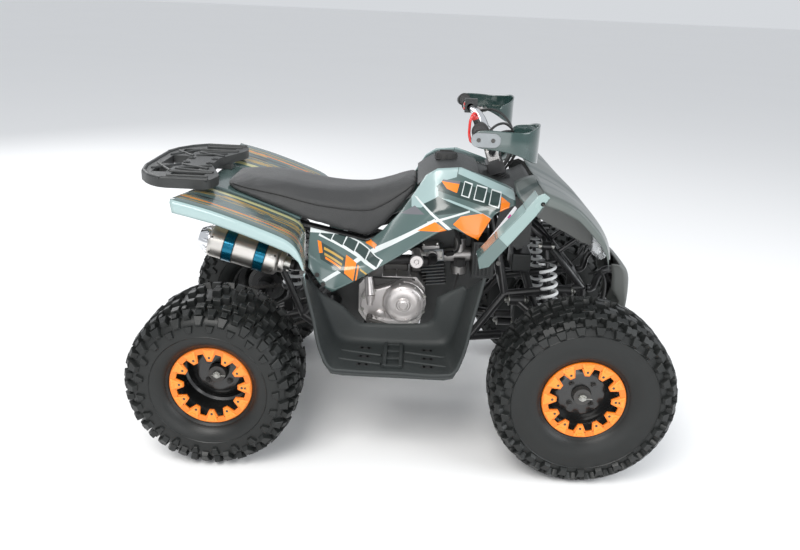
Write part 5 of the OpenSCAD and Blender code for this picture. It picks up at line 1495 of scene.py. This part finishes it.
def smallParts():
    washers = bmesh.new()
    for x0, x1, y, z in ((331, 331, -120, 388), (461, 461, -120, 424), (331, 331, -112, 226), (461, 461, -112, 226)):
        for s in (-1, 1):
            p = at(x0 + s * 21.5, y, z)
            rod(washers, p, p + xAxis * s * 0.0025, 0.0165, 0.0165, 32)
            hexNut(washers, at(x0 + s * 26, y, z), xAxis * s, 0.0085, 0.0065, washer=False)
    for x, y, z in ((482, -264, 318), (482, -264, 165)):
        hexNut(washers, at(x, y, z), zAxis if z > 200 else -zAxis, 0.0095, 0.008)
    mirrored(washers)
    piece(washers, "armWashers", "chassis", zinc, bevel=0.0004)
    for tag in ("left", "right"):
        softCopy("knuckle_" + tag, "knuckleCasting_" + tag, "knuckle_" + tag, frameBlack, 0.002)
    softCopy("rear_caliper", "rearCaliper", "chassis", castAlloy, 0.003)
    softCopy("hitch_plate", "hitchPlate", "chassis", frameBlack, 0.0012)
    screws = bmesh.new()
    for x, y, z in ((236, -394, 590), (-215, -238, 452), (-232, -236, 478), (-250, -392, 540), (160, -196, 640),
                    (330, -392, 744)):
        out = Vector((0, -1, 0))
        rod(screws, at(x, y, z) - out * 0.002, at(x, y, z) + out * 0.002, 0.0065, 0.0055, 24)
        rod(screws, at(x, y, z) + out * 0.0015, at(x, y, z) + out * 0.003, 0.0025, 0.0025, 6)
    mirrored(screws)
    piece(screws, "panelScrews", "chassis", darkAlloy)
    strip = bmesh.new()
    prism(strip, [at(188, -300, 581), at(200, -300, 568), at(282, -300, 707), at(276, -300, 713)],
          Vector((0, -0.002, 0)))
    mirrored(strip)
    piece(strip, "whiteStrips", "chassis", stripWhite, bevel=0.0005)
    bm = bmesh.new()        # coil, battery box and wiring block in the nose
    slab(bm, at(316, -54, 452), at(372, 54, 508))
    slab(bm, at(330, -70, 300), at(392, -20, 352))
    slab(bm, at(120, -40, 640), at(196, 40, 700))
    piece(bm, "batteryBox", "chassis", tankPlastic, bevel=0.006, segments=3)
    bm = bmesh.new()
    for s in (-1, 1):
        slab(bm, at(468, s * 176 - 26, 592), at(500, s * 176 + 26, 620))
    piece(bm, "lampBrackets", "chassis", frameBlack, bevel=0.002)
    bm = bmesh.new()        # splash guards ahead of and behind the engine, on the centre line
    plate(bm, 8, ((58, 236), (206, 236), (236, 330), (246, 600), (216, 664), (96, 656), (-20, 600), (-20, 500),
                  (40, 470), (66, 400)), 0.003)
    plate(bm, 8, ((-70, 236), (-120, 432), (-60, 540), (-150, 560), (-224, 470), (-222, 320), (-190, 236)), 0.003)
    piece(bm, "splashGuards", "chassis", tankPlastic, bevel=0.001)
    bm = bmesh.new()        # inner arch walls under the front cowl
    arch = ((312, 722), (345, 733), (395, 712), (438, 688), (478, 655), (512, 622), (524, 598), (498, 598),
            (470, 606), (430, 628), (372, 654), (322, 684))
    plate(bm, -232, arch, 0.003)
    mirrored(bm)
    piece(bm, "archWalls", "chassis", shieldGrey, bevel=0.001)
    bm = bmesh.new()        # inner nose panels between the tank cover and the cowl
    plate(bm, -122, ((252, 600), (318, 540), (352, 560), (352, 716), (300, 716), (264, 690)), 0.003)
    mirrored(bm)
    piece(bm, "innerNosePanels", "chassis", tankPlastic, bevel=0.001)


stripWhite = finish("strip_white", (0.80, 0.80, 0.82), 0.35, drift=(0.72, 0.70, 0.74), driftScale=10, coat=0.3)
paintOver(stripWhite, [((0.55, 0.05, 0.28), [(212, 599), (220, 592), (226, 602), (218, 609)]),
                       ((0.55, 0.05, 0.28), [(238, 637), (246, 630), (253, 642), (245, 649)]),
                       ((0.55, 0.05, 0.28), [(264, 682), (273, 676), (278, 685), (270, 692)])])
smallParts()


def cables():
    runs = {
        "throttleCable": ([(196, -236, 882), (226, -214, 902), (262, -160, 890), (286, -92, 846), (284, -46, 790),
                           (262, -28, 744)], 0.0032),
        "frontBrakeCable": ([(212, -236, 876), (250, -206, 884), (286, -150, 868), (300, -80, 826), (290, -34, 776),
                             (268, -14, 738)], 0.0038),
        "rearBrakeCable": ([(212, 236, 876), (250, 206, 884), (288, 146, 866), (302, 76, 824), (288, 34, 776),
                            (268, 16, 738)], 0.0038),
        "wiringRun": ([(186, 216, 874), (214, 170, 852), (240, 104, 838), (262, 56, 802), (264, 36, 770),
                       (256, 26, 740)], 0.0036)}
    for name, (points, radius) in runs.items():
        hose(name, points, radius, "steering", softRubber)
    for side, tag in ((-1, "right"), (1, "left")):
        hose("brakeHose_" + tag, [(536, side * 92, 470), (560, side * 128, 486), (566, side * 170, 452),
                                  (540, side * 206, 396),
                                  (500, side * 226, 340), (440, side * 236, 292), (420, side * 240, 262)], 0.0034,
                                  "chassis", softRubber)
    hose("stopCord", [(168, -228, 926), (162, -236, 930), (154, -246, 920), (151, -250, 896), (153, -250, 872),
                      (160, -248, 860),
                      (170, -246, 866)], 0.0034, "steering", redPlastic)
    hose("rearBrakeHose", [(-250, -70, 420), (-300, -84, 380), (-350, -92, 340), (-400, -96, 318), (-440, -92, 312)],
         0.0034, "chassis", softRubber)


cables()
print("cables made")


def studio():
    bm = bmesh.new()
    bmesh.ops.create_grid(bm, x_segments=1, y_segments=1, size=80)
    mesh = bpy.data.meshes.new("floor")
    bm.to_mesh(mesh)
    bm.free()
    floor = bpy.data.objects.new("floor", mesh)
    bpy.context.collection.objects.link(floor)
    mesh.materials.append(finish("floor_pale", (0.90, 0.90, 0.90), 0.95, drift=(0.88, 0.88, 0.88), driftScale=0.5))
    world = bpy.data.worlds.new("studio")
    world.use_nodes = True
    world.node_tree.nodes["Background"].inputs["Color"].default_value = (0.93, 0.96, 1.0, 1)
    world.node_tree.nodes["Background"].inputs["Strength"].default_value = 0.72
    bpy.context.scene.view_settings.view_transform = "Standard"
    bpy.context.scene.world = world
    for name, place, size, power, tint in (("key", (-1.2, -3.0, 3.6), 2.4, 160, (1, 0.98, 0.95)),
                                           ("fill", (3.4, -1.8, 2.0), 2.2, 80, (0.95, 0.98, 1)),
                                           ("back", (-2.8, 2.6, 2.6), 2.4, 60, (1, 1, 1)),
                                           ("low", (0.2, -3.4, 0.6), 1.8, 24, (1, 1, 1))):
        data = bpy.data.lights.new(name, "AREA")
        data.size = size
        data.energy = power
        data.color = tint
        lamp = bpy.data.objects.new(name, data)
        bpy.context.collection.objects.link(lamp)
        lamp.location = place
        lamp.rotation_euler = (Vector((0, 0, 0.4)) - Vector(place)).to_track_quat("-Z", "Y").to_euler()


studio()
